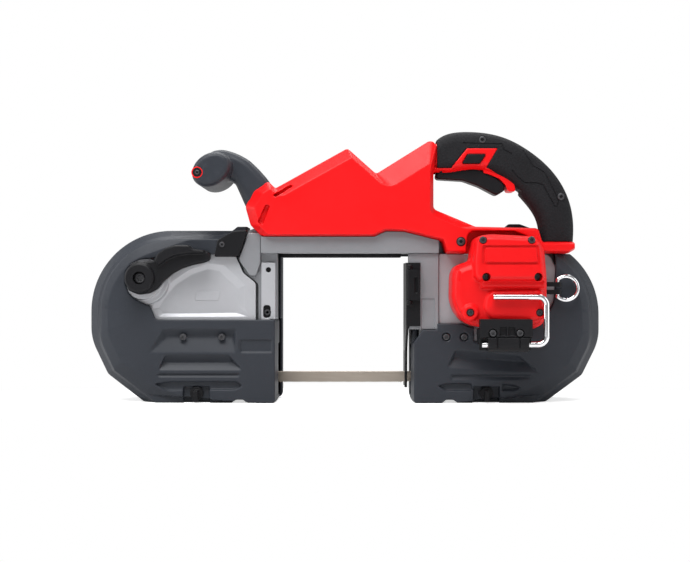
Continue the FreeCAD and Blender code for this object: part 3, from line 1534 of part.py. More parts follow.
def ring_y():
    return cover_front_y - ring_forward


def hang_ring():
    y = ring_y()
    turn = math.radians(ring_open_angle)
    centre = V(ring_pivot_x + ring_radius * math.cos(turn), y, ring_z)
    high = V(ring_pivot_x, y, ring_z + ring_radius * math.sin(turn))
    low = V(ring_pivot_x, y, ring_z - ring_radius * math.sin(turn))
    right = centre + V(ring_radius, 0, 0)
    arc = Part.Arc(high, right, low).toShape()
    start = V(math.sin(turn), 0, math.cos(turn))
    profile = Part.Wire([Part.makeCircle(ring_wire_radius, high, start)])
    ring = Part.Wire([arc]).makePipeShell([profile], True, True)
    for end, way in ((high, -1), (low, 1)):
        ring = ring.fuse(Part.makeCylinder(ring_wire_radius, ring_pin_length, end, V(0, 0, way)))
        ring = ring.fuse(Part.makeSphere(ring_wire_radius, end))
    return ring


def ring_lugs():
    y = ring_y()
    rise = ring_radius * math.sin(math.radians(ring_open_angle))
    start = cover_left + cover_width + seat_gap
    lugs = []
    for way in (-1, 1):
        z0 = ring_z + way * (rise - ring_wire_radius - part_gap)
        z1 = z0 - way * ring_lug_height
        low = min(z0, z1)
        lug = box(start, ring_pivot_x, y - ring_lug_radius, y + ring_lug_radius, low, low + ring_lug_height)
        lug = lug.fuse(Part.makeCylinder(ring_lug_radius, ring_lug_height, V(ring_pivot_x, y, low)))
        hole = Part.makeCylinder(ring_wire_radius + shaft_clearance, ring_lug_height * 2, V(ring_pivot_x, y,
                                                                                            low - cut_margin))
        lugs.append(lug.cut(hole))
    return Part.makeCompound(lugs)


# Screws
def screw(x, z, face, length):
    head = rod_y(x, z, screw_head_radius, face, face + screw_head_height - seat_gap)
    socket = Part.Face(Part.makePolygon(hexagon(x, z, face - cut_margin)))
    socket = socket.extrude(V(0, screw_socket_depth + cut_margin, 0))
    return head.cut(socket).fuse(rod_y(x, z, screw_shank_radius, face + screw_head_height - seat_gap,
                                       face + length))


def hexagon(x, z, y):
    spots = []
    for i in range(7):
        turn = math.radians(60 * i)
        spots.append(V(x + screw_socket_radius * math.cos(turn), y, z + screw_socket_radius * math.sin(turn)))
    return spots


def armor_screw_places(side):
    z = wheel_height - armor_screw_drop
    if side < 0:
        return [(reach - wheel_x, z) for reach in left_screw_reaches]
    return [(side_end(1) + reach, z) for reach in right_screw_reaches]


def case_screws():
    screws = []
    for side in (-1, 1):
        for x, z in armor_screw_places(side):
            screws.append(screw(x, z, armor_front_y, plate_front_y - armor_front_y + plate_thickness / 2))
    for i, (x, z, face) in enumerate(cover_screw_places()):
        screws.append(screw(x, z, face, screw_length if i < 2 else short_boss_depth))
    for x, z, face in hook_screw_places():
        screws.append(screw(x, z, face, cover_front_y - hook_pad_depth / 2 - face))
    return Part.makeCompound(screws)


def build():
    near, far = casing_halves()
    shapes = {
        "main_frame": main_frame(),
        "left_armor": armor(-1),
        "right_armor": armor(1),
        "tension_cover": tension_cover(),
        "gear_case": gear_case(),
        "near_casing": near,
        "far_casing": far,
        "battery_terminals": battery_terminals(),
        "rear_grip": rear_grip(),
        "trigger": trigger(),
        "trigger_spring": trigger_spring(),
        "lock_button": lock_button(),
        "switch_body": switch_body(),
        "control_board": control_board(),
        "front_handle": front_handle(),
        "handle_rings": handle_rings(),
        "motor_cover": motor_cover(),
        "stator": stator(),
        "motor_plate": motor_plate(),
        "rotor": rotor(),
        "cooling_fan": cooling_fan(),
        "motor_pinion": motor_pinion(),
        "step_gear": step_gear(),
        "drive_gear": drive_gear(),
        "drive_spindle": drive_spindle(),
        "bearings": bearings(),
        "drive_wheel": wheel(wheel_x),
        "drive_tyre": tyre(wheel_x),
        "idler_wheel": wheel(-wheel_x),
        "idler_tyre": tyre(-wheel_x),
        "idler_bush": idler_bush(),
        "idler_axle": idler_axle(),
        "tension_carrier": tension_carrier(),
        "tension_cam": tension_cam(),
        "tension_lever": tension_lever(),
        "tension_springs": tension_springs(),
        "saw_blade": saw_blade(),
        "left_guide_bracket": left_guide_bracket(),
        "right_guide_bracket": right_guide_bracket(),
        "guide_pins": Part.makeCompound(guide_pins(-1) + guide_pins(1)),
        "left_wheel_guard": wheel_guard(-1),
        "right_wheel_guard": wheel_guard(1),
        "left_guard_latch": guard_latch(-1),
        "right_guard_latch": guard_latch(1),
        "neck_cover": neck_cover(),
        "shoe_plate": shoe_plate(),
        "shoe_lock": shoe_lock(),
        "hook_bracket": hook_bracket(),
        "hang_hook": hang_hook(),
        "ring_lugs": ring_lugs(),
        "hang_ring": hang_ring(),
        "case_screws": case_screws(),
    }
    for name, side in (("left", -1), ("right", 1)):
        shapes[name + "_guide_block"] = guide_block(side)
        shapes[name + "_near_roller"] = face_roller(side, -1)
        shapes[name + "_far_roller"] = face_roller(side, 1)
        shapes[name + "_back_roller"] = back_roller(side)
    return shapes


def depth_shift():
    front = hook_y() - hook_barrel_radius
    back = armor_back_y + part_gap + guard_depth
    return -(front + back) / 2


def main():
    os.makedirs("parts", exist_ok=True)
    for name, shape in build().items():
        shape.translate(V(0, depth_shift(), 0))
        print(name, shape.isValid(), len(shape.Solids), round(shape.Volume))
        shape.exportStep("parts/" + name + ".step")


if __name__ == "__main__":
    main()
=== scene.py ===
import bmesh
import bpy
import json
import math
import numpy as np
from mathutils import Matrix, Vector
from mathutils.bvhtree import BVHTree
from mathutils.geometry import convex_hull_2d


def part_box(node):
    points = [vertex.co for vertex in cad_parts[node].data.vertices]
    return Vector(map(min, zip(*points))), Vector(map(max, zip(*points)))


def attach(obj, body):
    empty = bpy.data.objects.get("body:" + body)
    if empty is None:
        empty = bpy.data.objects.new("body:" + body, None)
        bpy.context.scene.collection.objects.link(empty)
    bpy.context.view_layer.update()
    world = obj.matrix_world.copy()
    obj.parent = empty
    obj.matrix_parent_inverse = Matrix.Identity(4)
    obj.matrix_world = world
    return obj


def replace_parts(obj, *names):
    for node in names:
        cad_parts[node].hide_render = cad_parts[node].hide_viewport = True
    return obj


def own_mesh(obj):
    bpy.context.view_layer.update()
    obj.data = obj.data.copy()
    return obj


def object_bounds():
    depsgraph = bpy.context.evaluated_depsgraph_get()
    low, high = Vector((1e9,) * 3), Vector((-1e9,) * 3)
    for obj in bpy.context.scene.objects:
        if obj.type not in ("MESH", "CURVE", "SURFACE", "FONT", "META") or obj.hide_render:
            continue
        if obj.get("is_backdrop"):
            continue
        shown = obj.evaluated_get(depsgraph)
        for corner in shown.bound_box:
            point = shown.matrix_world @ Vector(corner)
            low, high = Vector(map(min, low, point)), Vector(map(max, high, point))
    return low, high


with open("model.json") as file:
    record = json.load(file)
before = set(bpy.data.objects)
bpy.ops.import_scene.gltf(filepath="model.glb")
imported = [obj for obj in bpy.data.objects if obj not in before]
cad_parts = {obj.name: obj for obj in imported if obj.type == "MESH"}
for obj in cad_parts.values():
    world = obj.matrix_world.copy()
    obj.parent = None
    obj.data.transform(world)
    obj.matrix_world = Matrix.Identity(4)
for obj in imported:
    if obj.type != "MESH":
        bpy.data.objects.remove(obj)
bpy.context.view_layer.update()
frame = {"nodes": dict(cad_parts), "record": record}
nodes = frame["nodes"]
bodyOf = {n: body for body, names in frame["record"]["behaviour"]["bodies"].items() for n in names}
slotOf = {row["node"]: row["material_slot"] for row in frame["record"]["subparts"]}
print("frame loaded,", len(nodes), "nodes")

# where the photo was taken from, in metres and photo pixels
shot = {"width": 690, "height": 562, "distance": 1.3, "pixel": 0.001018, "eyeHeight": 0.120, "sensor": 36.0}
wheelPlane = (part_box("drive_tyre")[0].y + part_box("drive_tyre")[1].y) / 2
eye = Vector((0.0, wheelPlane - shot["distance"], shot["eyeHeight"]))


def onPhoto(px, py, y):  # the point at depth y that the photo shows at px, py
    size = shot["pixel"] * (shot["distance"] + y - wheelPlane) / shot["distance"]
    return Vector(((px - shot["width"] / 2) * size, y, shot["eyeHeight"] + (shot["height"] / 2 - py) * size))


def traced(points, y):  # photo points as x, z pairs at depth y
    spots = [onPhoto(px, py, y) for px, py in points]
    return [(spot.x, spot.z) for spot in spots]


def boxed(left, top, right, foot):  # a rectangle of photo points
    return [(left, foot), (left, top), (right, top), (right, foot)]


def depth(local):  # millimetres from the wheel plane, as a y
    return wheelPlane + local / 1000.0


def millimetres(levels):  # depths and insets of a body's levels, in metres
    return [(depth(y), shrink / 1000.0) for y, shrink in levels]


# shader maths on sockets
class Wire:
    def __init__(self, tree, socket):
        self.tree = tree
        self.socket = socket

    def maths(self, operation, first, second):
        step = self.tree.nodes.new("ShaderNodeMath")
        step.operation = operation
        for place, value in enumerate((first, second)):
            if isinstance(value, Wire):
                self.tree.links.new(value.socket, step.inputs[place])
            else:
                step.inputs[place].default_value = value
        return Wire(self.tree, step.outputs[0])

    def __add__(self, other):
        return self.maths("ADD", self, other)

    def __radd__(self, other):
        return self.maths("ADD", other, self)

    def __sub__(self, other):
        return self.maths("SUBTRACT", self, other)

    def __rsub__(self, other):
        return self.maths("SUBTRACT", other, self)

    def __mul__(self, other):
        return self.maths("MULTIPLY", self, other)

    def __rmul__(self, other):
        return self.maths("MULTIPLY", other, self)

    def clipped(self):
        return self.maths("MAXIMUM", self.maths("MINIMUM", self, 1.0), 0.0)


class Finish:  # the node tree of a material or of the world
    def __init__(self, name, kind=bpy.data.materials):
        self.owner = kind.new(name)
        self.owner.use_nodes = True
        self.tree = self.owner.node_tree
        self.tree.nodes.clear()

    def node(self, kind, settings=None, sockets=None, output=0):
        made = self.tree.nodes.new(kind)
        for key, value in (settings or {}).items():
            if key == "stops":
                fillRamp(made.color_ramp, value)
            else:
                setattr(made, key, value)
        for key, value in (sockets or {}).items():
            if isinstance(value, Wire):
                self.tree.links.new(value.socket, made.inputs[key])
            else:
                made.inputs[key].default_value = value
        return Wire(self.tree, made.outputs[output]) if made.outputs else None

    def place(self, stretch=None):  # metres in the piece's own frame
        spot = self.node("ShaderNodeTexCoord", output="Object")
        if stretch is None:
            return spot
        return self.node("ShaderNodeVectorMath", {"operation": "MULTIPLY"}, {0: spot, 1: stretch})

    def noise(self, scale, detail, stretch=None):
        sockets = {"Vector": self.place(stretch), "Scale": scale, "Detail": detail}
        return self.node("ShaderNodeTexNoise", sockets=sockets)

    def tint(self, first, second, share):
        settings = {"data_type": "RGBA", "clamp_factor": True}
        return self.node("ShaderNodeMix", settings, {0: share, 6: first + (1.0,), 7: second + (1.0,)}, 2)

    def bump(self, height, distance):
        return self.node("ShaderNodeBump", sockets={"Height": height, "Distance": distance, "Strength": 1.0})

    def glow(self, strength):
        return self.node("ShaderNodeEmission", sockets={"Color": (1.0, 1.0, 1.0, 1.0), "Strength": strength})

    def surface(self, sockets):
        shader = self.node("ShaderNodeBsdfPrincipled", sockets=sockets)
        self.node("ShaderNodeOutputMaterial", sockets={"Surface": shader})
        return self.owner


def fillRamp(ramp, stops):
    while len(ramp.elements) < len(stops):
        ramp.elements.new(0.5)
    for element, (place, value) in zip(ramp.elements, stops):
        element.position = place
        element.color = (value, value, value, 1.0)


def mouldedPlastic(name, dark, pale, grain, height, roughness, scuffs, glare):
    finish = Finish(name)
    cloud = finish.noise(24.0, 4.0)
    fine = finish.noise(grain, 2.0)
    scratch = finish.noise(160.0, 6.0)
    worn = finish.node("ShaderNodeValToRGB", {"stops": [(0.58, 0.0), (0.72, 1.0)]}, {0: scratch})
    share = (0.35 * cloud + 0.3 * fine + scuffs * worn).clipped()
    return finish.surface({
        "Base Color": finish.tint(dark, pale, share),
        "Roughness": (roughness - 0.10 + 0.14 * cloud + 0.06 * worn).clipped(),
        "Normal": finish.bump(fine, height),
        "Specular IOR Level": glare,
    })


def gripRubber(name, dark, pale, cell):
    finish = Finish(name)
    pebble = finish.node("ShaderNodeTexVoronoi", {"feature": "SMOOTH_F1"},
                         {"Vector": finish.place(), "Scale": cell, "Smoothness": 0.35})
    fine = finish.noise(1800.0, 2.0)
    cloud = finish.noise(30.0, 3.0)
    height = (1.0 - pebble) + 0.18 * fine
    share = (0.55 * (1.0 - pebble) * cloud + 0.3 * cloud).clipped()
    return finish.surface({
        "Base Color": finish.tint(dark, pale, share),
        "Roughness": (0.62 + 0.16 * pebble).clipped(),
        "Normal": finish.bump(height, 0.00035),
        "Specular IOR Level": 0.16,
    })


def castMetal(name, dark, pale, roughness, metallic, height):
    finish = Finish(name)
    sand = finish.noise(1500.0, 3.0)
    cloud = finish.noise(18.0, 4.0)
    stain = finish.noise(140.0, 5.0)
    share = (0.45 * cloud + 0.3 * sand + 0.25 * stain).clipped()
    return finish.surface({
        "Base Color": finish.tint(dark, pale, share),
        "Roughness": (roughness - 0.08 + 0.12 * sand + 0.06 * cloud).clipped(),
        "Metallic": metallic,
        "Normal": finish.bump(sand, height),
    })


def brushedMetal(name, dark, pale, roughness, stretch):
    finish = Finish(name)
    lines = finish.noise(1.0, 4.0, stretch)
    cloud = finish.noise(26.0, 4.0)
    share = (0.55 * lines + 0.4 * cloud).clipped()
    return finish.surface({
        "Base Color": finish.tint(dark, pale, share),
        "Roughness": (roughness - 0.06 + 0.16 * lines).clipped(),
        "Metallic": 1.0,
        "Normal": finish.bump(lines, 0.00004),
    })


def polishedRod(name, dark, pale):
    finish = Finish(name)
    haze = finish.noise(60.0, 4.0)
    fine = finish.noise(900.0, 2.0)
    return finish.surface({
        "Base Color": finish.tint(dark, pale, haze.clipped()),
        "Roughness": (0.06 + 0.10 * haze).clipped(),
        "Metallic": 1.0,
        "Normal": finish.bump(fine, 0.00001),
    })


finishes = {
    "casing_red": mouldedPlastic("shell red", (0.64, 0.0030, 0.0045), (0.78, 0.0070, 0.0090),
                                 1500.0, 0.00006, 0.40, 0.06, 0.20),
    "armor": mouldedPlastic("bumper plastic", (0.015, 0.018, 0.024), (0.036, 0.040, 0.050),
                            1100.0, 0.00009, 0.50, 0.12, 0.26),
    "grip_rubber": gripRubber("grip rubber", (0.006, 0.006, 0.007), (0.017, 0.017, 0.020), 620.0),
    "black_plastic": mouldedPlastic("black plastic", (0.004, 0.004, 0.005), (0.012, 0.012, 0.014),
                                    1300.0, 0.00006, 0.46, 0.10, 0.17),
    "frame_grey": castMetal("painted frame", (0.165, 0.170, 0.182), (0.240, 0.246, 0.262), 0.42, 0.20,
                            0.00006),
    "plate_silver": castMetal("cast silver", (0.32, 0.325, 0.345), (0.45, 0.455, 0.48), 0.40, 0.35, 0.00008),
    "steel": brushedMetal("ground steel", (0.42, 0.42, 0.44), (0.62, 0.62, 0.64), 0.30, (600.0, 600.0, 60.0)),
    "blade_steel": brushedMetal("blade steel", (0.26, 0.225, 0.19), (0.44, 0.39, 0.34), 0.36,
                                (40.0, 900.0, 900.0)),
    "black_steel": mouldedPlastic("black oxide", (0.004, 0.004, 0.005), (0.012, 0.012, 0.013),
                                  900.0, 0.00004, 0.38, 0.18, 0.15),
    "screw_black": castMetal("screw black", (0.036, 0.036, 0.040), (0.090, 0.090, 0.096), 0.34, 0.6, 0.00002),
    "chrome_rod": polishedRod("plated rod", (0.70, 0.70, 0.72), (0.86, 0.86, 0.88)),
    "brass": brushedMetal("brass", (0.55, 0.40, 0.16), (0.74, 0.56, 0.26), 0.30, (300.0, 300.0, 300.0)),
    "tyre_rubber": mouldedPlastic("tyre rubber", (0.014, 0.014, 0.014), (0.040, 0.040, 0.040),
                                  700.0, 0.0001, 0.70, 0.15, 0.30),
    "board": mouldedPlastic("board green", (0.012, 0.11, 0.04), (0.03, 0.20, 0.08),
                            500.0, 0.00008, 0.40, 0.2, 0.30),
}
print("finishes made,", len(finishes))

# settings that every shape shares
weld = {"gap": 0.000008, "sliver": 0.000004, "flat": 0.6}
bevels = {"rounds": 2, "sharp": 28.0, "narrowest": 0.0001, "step": 0.7, "stray": 1.2, "turned": -0.3,
          "spoiled": 4e-7}
moulding = {"smooth": 0.5, "sharp": 50.0}
corners = {"mostShare": 0.45, "leastReach": 0.001, "leastBend": 0.5, "bulge": 0.0005}
overrun = 0.004  # how far a cutter stands out of the face that it cuts
skins = {}


# meshes and pieces
def finished(name, work):
    mesh = bpy.data.meshes.new(name)
    work.to_mesh(mesh)
    work.free()
    return mesh


def addRings(work, rings):  # closed body through rings of as many points each
    rows = [[work.verts.new(spot) for spot in ring] for ring in rings]
    faces = [work.faces.new(rows[0]), work.faces.new(rows[-1])]
    for first, second in zip(rows, rows[1:]):
        for k in range(len(first)):
            n = (k + 1) % len(first)
            faces.append(work.faces.new((first[k], first[n], second[n], second[k])))
    bmesh.ops.recalc_face_normals(work, faces=faces)


def ringMesh(name, rings):
    work = bmesh.new()
    addRings(work, rings)
    return finished(name, work)


def addPiece(name, mesh, slot, body):
    piece = bpy.data.objects.new(name, mesh)
    bpy.context.scene.collection.objects.link(piece)
    mesh.materials.clear()
    mesh.materials.append(finishes[slot])
    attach(piece, body)
    return piece


def takesOver(piece, node):  # the piece is shown in the node's place
    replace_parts(piece, node)
    skins[node] = piece


def plainCopy(node):  # the node's surface, welded, flat areas joined into single faces
    source = nodes[node].data
    mesh = bpy.data.meshes.new(node + "_skin")
    mesh.from_pydata([v.co for v in source.vertices], [], [p.vertices for p in source.polygons])
    work = bmesh.new()
    work.from_mesh(mesh)
    bmesh.ops.remove_doubles(work, verts=work.verts, dist=weld["gap"])
    bmesh.ops.dissolve_degenerate(work, dist=weld["sliver"], edges=work.edges)
    bmesh.ops.recalc_face_normals(work, faces=work.faces)
    bmesh.ops.dissolve_limit(work, angle_limit=math.radians(weld["flat"]), verts=work.verts, edges=work.edges)
    work.to_mesh(mesh)
    work.free()
    return mesh


def shaded(piece, sharp=moulding["sharp"]):
    piece.data.shade_smooth()
    piece.data.set_sharp_from_angle(angle=math.radians(sharp))


def bevelled(piece, width):
    bevel = piece.modifiers.new("edges", "BEVEL")
    bevel.width = width
    bevel.segments = bevels["rounds"]
    bevel.limit_method = "ANGLE"
    bevel.angle_limit = math.radians(bevels["sharp"])
    bevel.use_clamp_overlap = False
    bevel.miter_outer = "MITER_ARC"
    return bevel


def spoiledArea(piece, tree, width):  # faces that too wide an edge turned over or threw out
    shown = piece.evaluated_get(bpy.context.evaluated_depsgraph_get())
    mesh = shown.to_mesh()
    mesh.calc_loop_triangles()
    spoiled = 0.0
    for tri in mesh.loop_triangles:
        normal, gap = tree.find_nearest(tri.center)[1::2]
        if gap > bevels["stray"] * width or tri.normal.dot(normal) < bevels["turned"]:
            spoiled += tri.area
    shown.to_mesh_clear()
    return spoiled


def softEdges(piece, width):
    work = bmesh.new()
    work.from_mesh(piece.data)
    tree = BVHTree.FromBMesh(work)
    work.free()
    shaded(piece, bevels["sharp"])
    while width > bevels["narrowest"]:  # the widest edge that stays clean
        bevel = bevelled(piece, width)
        spoiled = spoiledArea(piece, tree, width)
        if spoiled < bevels["spoiled"]:
            break
        print("  edge", round(width * 1000, 2), "mm spoils", round(spoiled * 1e6, 2), "mm2 of", piece.name)
        piece.modifiers.remove(bevel)
        width *= bevels["step"]
    even = piece.modifiers.new("even", "WEIGHTED_NORMAL")
    even.keep_sharp = True


def settled(piece):  # modifiers become mesh
    mesh = bpy.data.meshes.new_from_object(piece.evaluated_get(bpy.context.evaluated_depsgraph_get()))
    piece.modifiers.clear()
    piece.data = mesh


def carve(piece, tools, operation="DIFFERENCE"):
    for tool in tools:
        cut = piece.modifiers.new("carve", "BOOLEAN")
        cut.operation = operation
        cut.solver = "EXACT"
        cut.object = tool
    settled(piece)
    for tool in tools:
        bpy.data.objects.remove(tool)


def dressed(node, edge, cutters=()):  # the node's own shape with softened edges
    piece = addPiece(node + "_skin", plainCopy(node), slotOf[node], bodyOf[node])
    if cutters:
        carve(piece, cutters)
    softEdges(piece, edge)
    takesOver(piece, node)


def evened(piece, voxel, passes, keep, relief=None):  # rebuilt from small voxels, so that every edge is soft
    remesh = piece.modifiers.new("remesh", "REMESH")
    remesh.mode = "VOXEL"
    remesh.voxel_size = voxel
    smooth = piece.modifiers.new("smooth", "SMOOTH")
    smooth.factor = moulding["smooth"]
    smooth.iterations = passes
    if relief:
        settled(piece)
        relief(piece.data)
    thin = piece.modifiers.new("thin", "DECIMATE")
    thin.ratio = keep
    settled(piece)


def moulded(node, voxel, passes, keep, cutters=(), fills=(), bosses=(), seams=(), relief=None):
    piece = addPiece(node + "_skin", plainCopy(node), slotOf[node], bodyOf[node])
    for tools, operation in ((fills, "UNION"), (cutters, "DIFFERENCE"), (bosses, "UNION")):
        if tools:
            carve(piece, tools, operation)
    evened(piece, voxel, passes, keep, relief)
    if seams:
        carve(piece, seams)
    shaded(piece)
    takesOver(piece, node)


def melted(node, work, slot, voxel, passes, keep):  # bodies run together into one soft skin
    name = node + "_skin"
    piece = addPiece(name, finished(name, work), slot, bodyOf[node])
    evened(piece, voxel, passes, keep)
    shaded(piece)
    return piece


# shape makers
def prismMesh(name, near, far):  # two outlines of as many points with walls between them
    work = bmesh.new()
    rows = [[work.verts.new(spot) for spot in ring] for ring in (near, far)]
    work.faces.new(rows[0])
    work.faces.new(rows[1][::-1])
    for k in range(len(near)):
        n = (k + 1) % len(near)
        work.faces.new((rows[0][n], rows[0][k], rows[1][k], rows[1][n]))
    bmesh.ops.recalc_face_normals(work, faces=work.faces)
    return finished(name, work)


def slabMesh(name, outline, y0, y1, inset):  # outline of x, z pairs, inset at y0
    centre = Vector((sum(x for x, z in outline), 0, sum(z for x, z in outline))) / len(outline)
    rings = []
    for y, shrink in ((y0, inset), (y1, 0.0)):
        ring = []
        for x, z in outline:
            away = Vector((x - centre.x, 0, z - centre.z))
            scale = 1.0 - shrink / max(away.length, corners["leastReach"])
            ring.append((centre.x + away.x * scale, y, centre.z + away.z * scale))
        rings.append(ring)
    return prismMesh(name, *rings)


def slab(name, outline, y0, y1, slot, edge, inset=0.0):  # a piece fixed to the saw
    piece = addPiece(name, slabMesh(name, outline, y0, y1, inset), slot, "saw")
    softEdges(piece, edge)


def meshCutter(mesh):
    tool = bpy.data.objects.new("cutter", mesh)
    bpy.context.scene.collection.objects.link(tool)
    tool.hide_render = True
    return tool


def cutter(outline, y0, y1, inset=0.0):
    return meshCutter(slabMesh("cutter", outline, y0, y1, inset))


def softened(points, radius, steps):  # corners of an outline turned into short arcs
    soft = []
    for i, (x, z) in enumerate(points):
        spot = Vector((x, z))
        back = Vector(points[i - 1]) - spot
        ahead = Vector(points[(i + 1) % len(points)]) - spot
        reach = min(radius, back.length * corners["mostShare"], ahead.length * corners["mostShare"])
        start = spot + back.normalized() * reach
        end = spot + ahead.normalized() * reach
        for k in range(steps + 1):
            t = k / steps
            here = start * (1 - t) ** 2 + spot * 2 * t * (1 - t) + end * t ** 2
            soft.append((here.x, here.y))
    return soft


def rounded(points, y, corner):  # photo points at depth y, with soft corners
    return softened(traced(points, y), *corner)


def plate(name, form, y, slot):  # a slab that stands out of the face at y
    slab(name, rounded(form["points"], y, form["corner"]), y - form["proud"], y + form["deep"], slot,
         form["edge"], form["slope"])


def faceCut(points, y, back):  # straight cut through the face at y
    return cutter(traced(points, y), back, y - overrun)


def tubeMesh(name, path, radius, sides):
    rings = []
    up = Vector((0, 1, 0))
    for i, spot in enumerate(path):
        ahead = (path[min(i + 1, len(path) - 1)] - path[max(i - 1, 0)]).normalized()
        side = ahead.cross(up)
        side = side.normalized() if side.length > corners["leastReach"] else Vector((1, 0, 0))
        up = side.cross(ahead).normalized()
        turns = [2 * math.pi * k / sides for k in range(sides)]
        rings.append([spot + (side * math.cos(turn) + up * math.sin(turn)) * radius for turn in turns])
    return ringMesh(name, rings)


def turnOf(points):  # 1 for an outline that runs anticlockwise, else -1
    area = sum(a[0] * b[1] - b[0] * a[1] for a, b in zip(points, points[1:] + points[:1]))
    return math.copysign(1.0, area)


def insetOutline(points, distance):  # every edge of an outline moved inwards
    turn = turnOf(points)
    moved = []
    for i in range(len(points)):
        spot = Vector(points[i])
        before = (spot - Vector(points[i - 1])).normalized()
        after = (Vector(points[(i + 1) % len(points)]) - spot).normalized()
        middle = (Vector((-before.y, before.x)) + Vector((-after.y, after.x))) * turn
        reach = distance * 2 / max(middle.length_squared, corners["leastBend"])
        moved.append(tuple(spot + middle * reach))
    return moved


def trimmed(points, distance):  # what is left of a bulging outline when each edge is cut back
    turn = turnOf(points)
    spots = [Vector(p) for p in points]
    reach = max(spot.length for spot in spots)
    left = [Vector((x * reach, z * reach)) for x, z in ((-1, -1), (1, -1), (1, 1), (-1, 1))]
    for first, second in zip(spots, spots[1:] + spots[:1]):
        along = (second - first).normalized()
        inward = Vector((-along.y, along.x)) * turn
        if min((spot - first).dot(inward) for spot in spots) < -corners["bulge"]:
            continue
        kept = []
        for here, after in zip(left, left[1:] + left[:1]):
            a = (here - first).dot(inward) - distance
            b = (after - first).dot(inward) - distance
            if a >= 0:
                kept.append(here)
            if (a >= 0) != (b >= 0):
                kept.append(here + (after - here) * (a / (a - b)))
        left = kept
    return [tuple(spot) for spot in left]


def layered(work, outline, levels):  # closed body through y levels, each with its own inset of the outline
    addRings(work, [[(x, y, z) for x, z in insetOutline(outline, shrink)] for y, shrink in levels])


def roundOutline(centre, wide, tall=None, tilt=0.0, sides=40):  # centre is a point in space
    ring = []
    for k in range(sides):
        turn = 2 * math.pi * k / sides
        a = wide * math.cos(turn)
        b = (tall or wide) * math.sin(turn)
        ring.append((centre.x + a * math.cos(tilt) - b * math.sin(tilt),
                     centre.z + a * math.sin(tilt) + b * math.cos(tilt)))
    return ring


def caster(node):  # rays against a node's own solid
    source = nodes[node].data
    return BVHTree.FromPolygons([v.co for v in source.vertices], [p.vertices for p in source.polygons])


def seat(px, py, node):  # where the photo's ray first meets the node
    return casters[node].ray_cast(eye, (onPhoto(px, py, wheelPlane) - eye).normalized())[0]


def frontOf(node):
    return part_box(node)[0].y


def islands(node):  # low and high corner of each separate solid in a node
    mesh = plainCopy(node)
    work = bmesh.new()
    work.from_mesh(mesh)
    seen = set()
    found = []
    for start in work.verts:
        if start in seen:
            continue
        stack = [start]
        group = []
        seen.add(start)
        while stack:
            here = stack.pop()
            group.append(here.co.copy())
            others = [edge.other_vert(here) for edge in here.link_edges]
            fresh = [other for other in others if other not in seen]
            seen.update(fresh)
            stack += fresh
        found.append([Vector([pick(spot[i] for spot in group) for i in range(3)]) for pick in (min, max)])
    work.free()
    bpy.data.meshes.remove(mesh)
    return found


screwHead = {"sides": 36, "lobes": 6, "sharp": 40.0,  # rings by reach, sink and lobe depth, as shares
             "rings": ((1.0, 1.0, 0.0), (1.0, 0.35, 0.0), (0.93, 0.12, 0.0), (0.82, 0.0, 0.0),
                       (0.50, 0.0, 0.16), (0.47, 0.12, 0.16), (0.45, 0.75, 0.16))}


def starScrew(work, spot, radius, height, way):  # pan head with a six lobed recess, facing way along y
    turns = [2 * math.pi * k / screwHead["sides"] for k in range(screwHead["sides"])]
    rings = []
    for reach, sink, lobes in screwHead["rings"]:
        ring = []
        for turn in turns:
            r = radius * reach * (1.0 + lobes * math.cos(screwHead["lobes"] * turn))
            away = Vector((r * math.cos(turn), -way * sink * height, r * math.sin(turn)))
            ring.append(spot + away)
        rings.append(ring)
    addRings(work, rings)


def screwSet(name, places, body="saw"):  # places hold spot, radius, height, way
    work = bmesh.new()
    for place in places:
        starScrew(work, *place)
    piece = addPiece(name, finished(name, work), "screw_black", body)
    shaded(piece, screwHead["sharp"])
    return piece


castNodes = ("left_armor", "near_casing", "far_casing", "rear_grip", "tension_cover")
casters = {node: caster(node) for node in castNodes}

# bumpers: folded side panels, lamp recesses and the side block
bumper = {
    "corner": (0.0015, 3), "lampDepth": 0.0034, "lampInset": 0.0008, "blockDepth": 0.0016,
    "blockInset": 0.0012, "foldDepth": 0.0058, "foldOut": 0.003, "fillDepth": 0.0080, "endDepth": 0.012,
    "rimDrop": 0.0050, "rimStart": 0.020, "rimEnd": 0.009, "rimDeep": 0.020, "rimFade": 0.014,
    "rimTurn": 0.08, "rimSpread": 4.0,
    "left": {
        "way": -1,
        "lamps": [[(153, 384), (170, 381.5), (237, 381.5), (243, 386), (236, 389.5), (166, 390.5)]],
        "blocks": [[(238.5, 339.5), (273, 339.5), (273, 353), (239.5, 353)]],
        "folds": [[(163, 328.5), (167, 336.5), (148, 353.2), (236, 353.2), (232.5, 336.5), (236, 328.5)],
                  [(166, 354.2), (163, 362.5), (158, 370.5), (243, 370.5), (233, 362.5), (228, 354.2)]],
        "ends": [],
        "fills": [[(146, 356), (158, 326), (238, 326), (241, 356), (249, 374), (153, 374)],
                  [(124, 306), (119, 290), (119, 268), (127, 253), (142, 247), (168, 247), (168, 257),
                   (150, 258.5), (140, 259.5), (131, 263.5), (126, 271), (125, 283), (129, 294), (136, 302),
                   (141, 309), (147, 318.5), (140, 322)]],
    },
    "right": {
        "way": 1,
        "lamps": [[(437, 386), (446, 383.5), (472, 383.5), (474, 391), (446, 391)],
                  [(501, 391), (502, 384), (512, 384.5), (522, 388), (514, 391)]],
        "blocks": [],
        "folds": [[(456, 349.5), (453, 356.5), (447, 368), (540, 373), (528, 362), (517, 354.5)]],
        "ends": [[(412, 346), (412, 327), (424.5, 327)]],
        "fills": [[(432, 370), (447, 346), (535, 346), (545, 375), (434, 375)],
                  boxed(437.5, 323.5, 456, 331)],
    },
}
armorFront = frontOf("left_armor")
shellFinish = {"voxel": 0.0008, "passes": 3, "keep": 0.16}


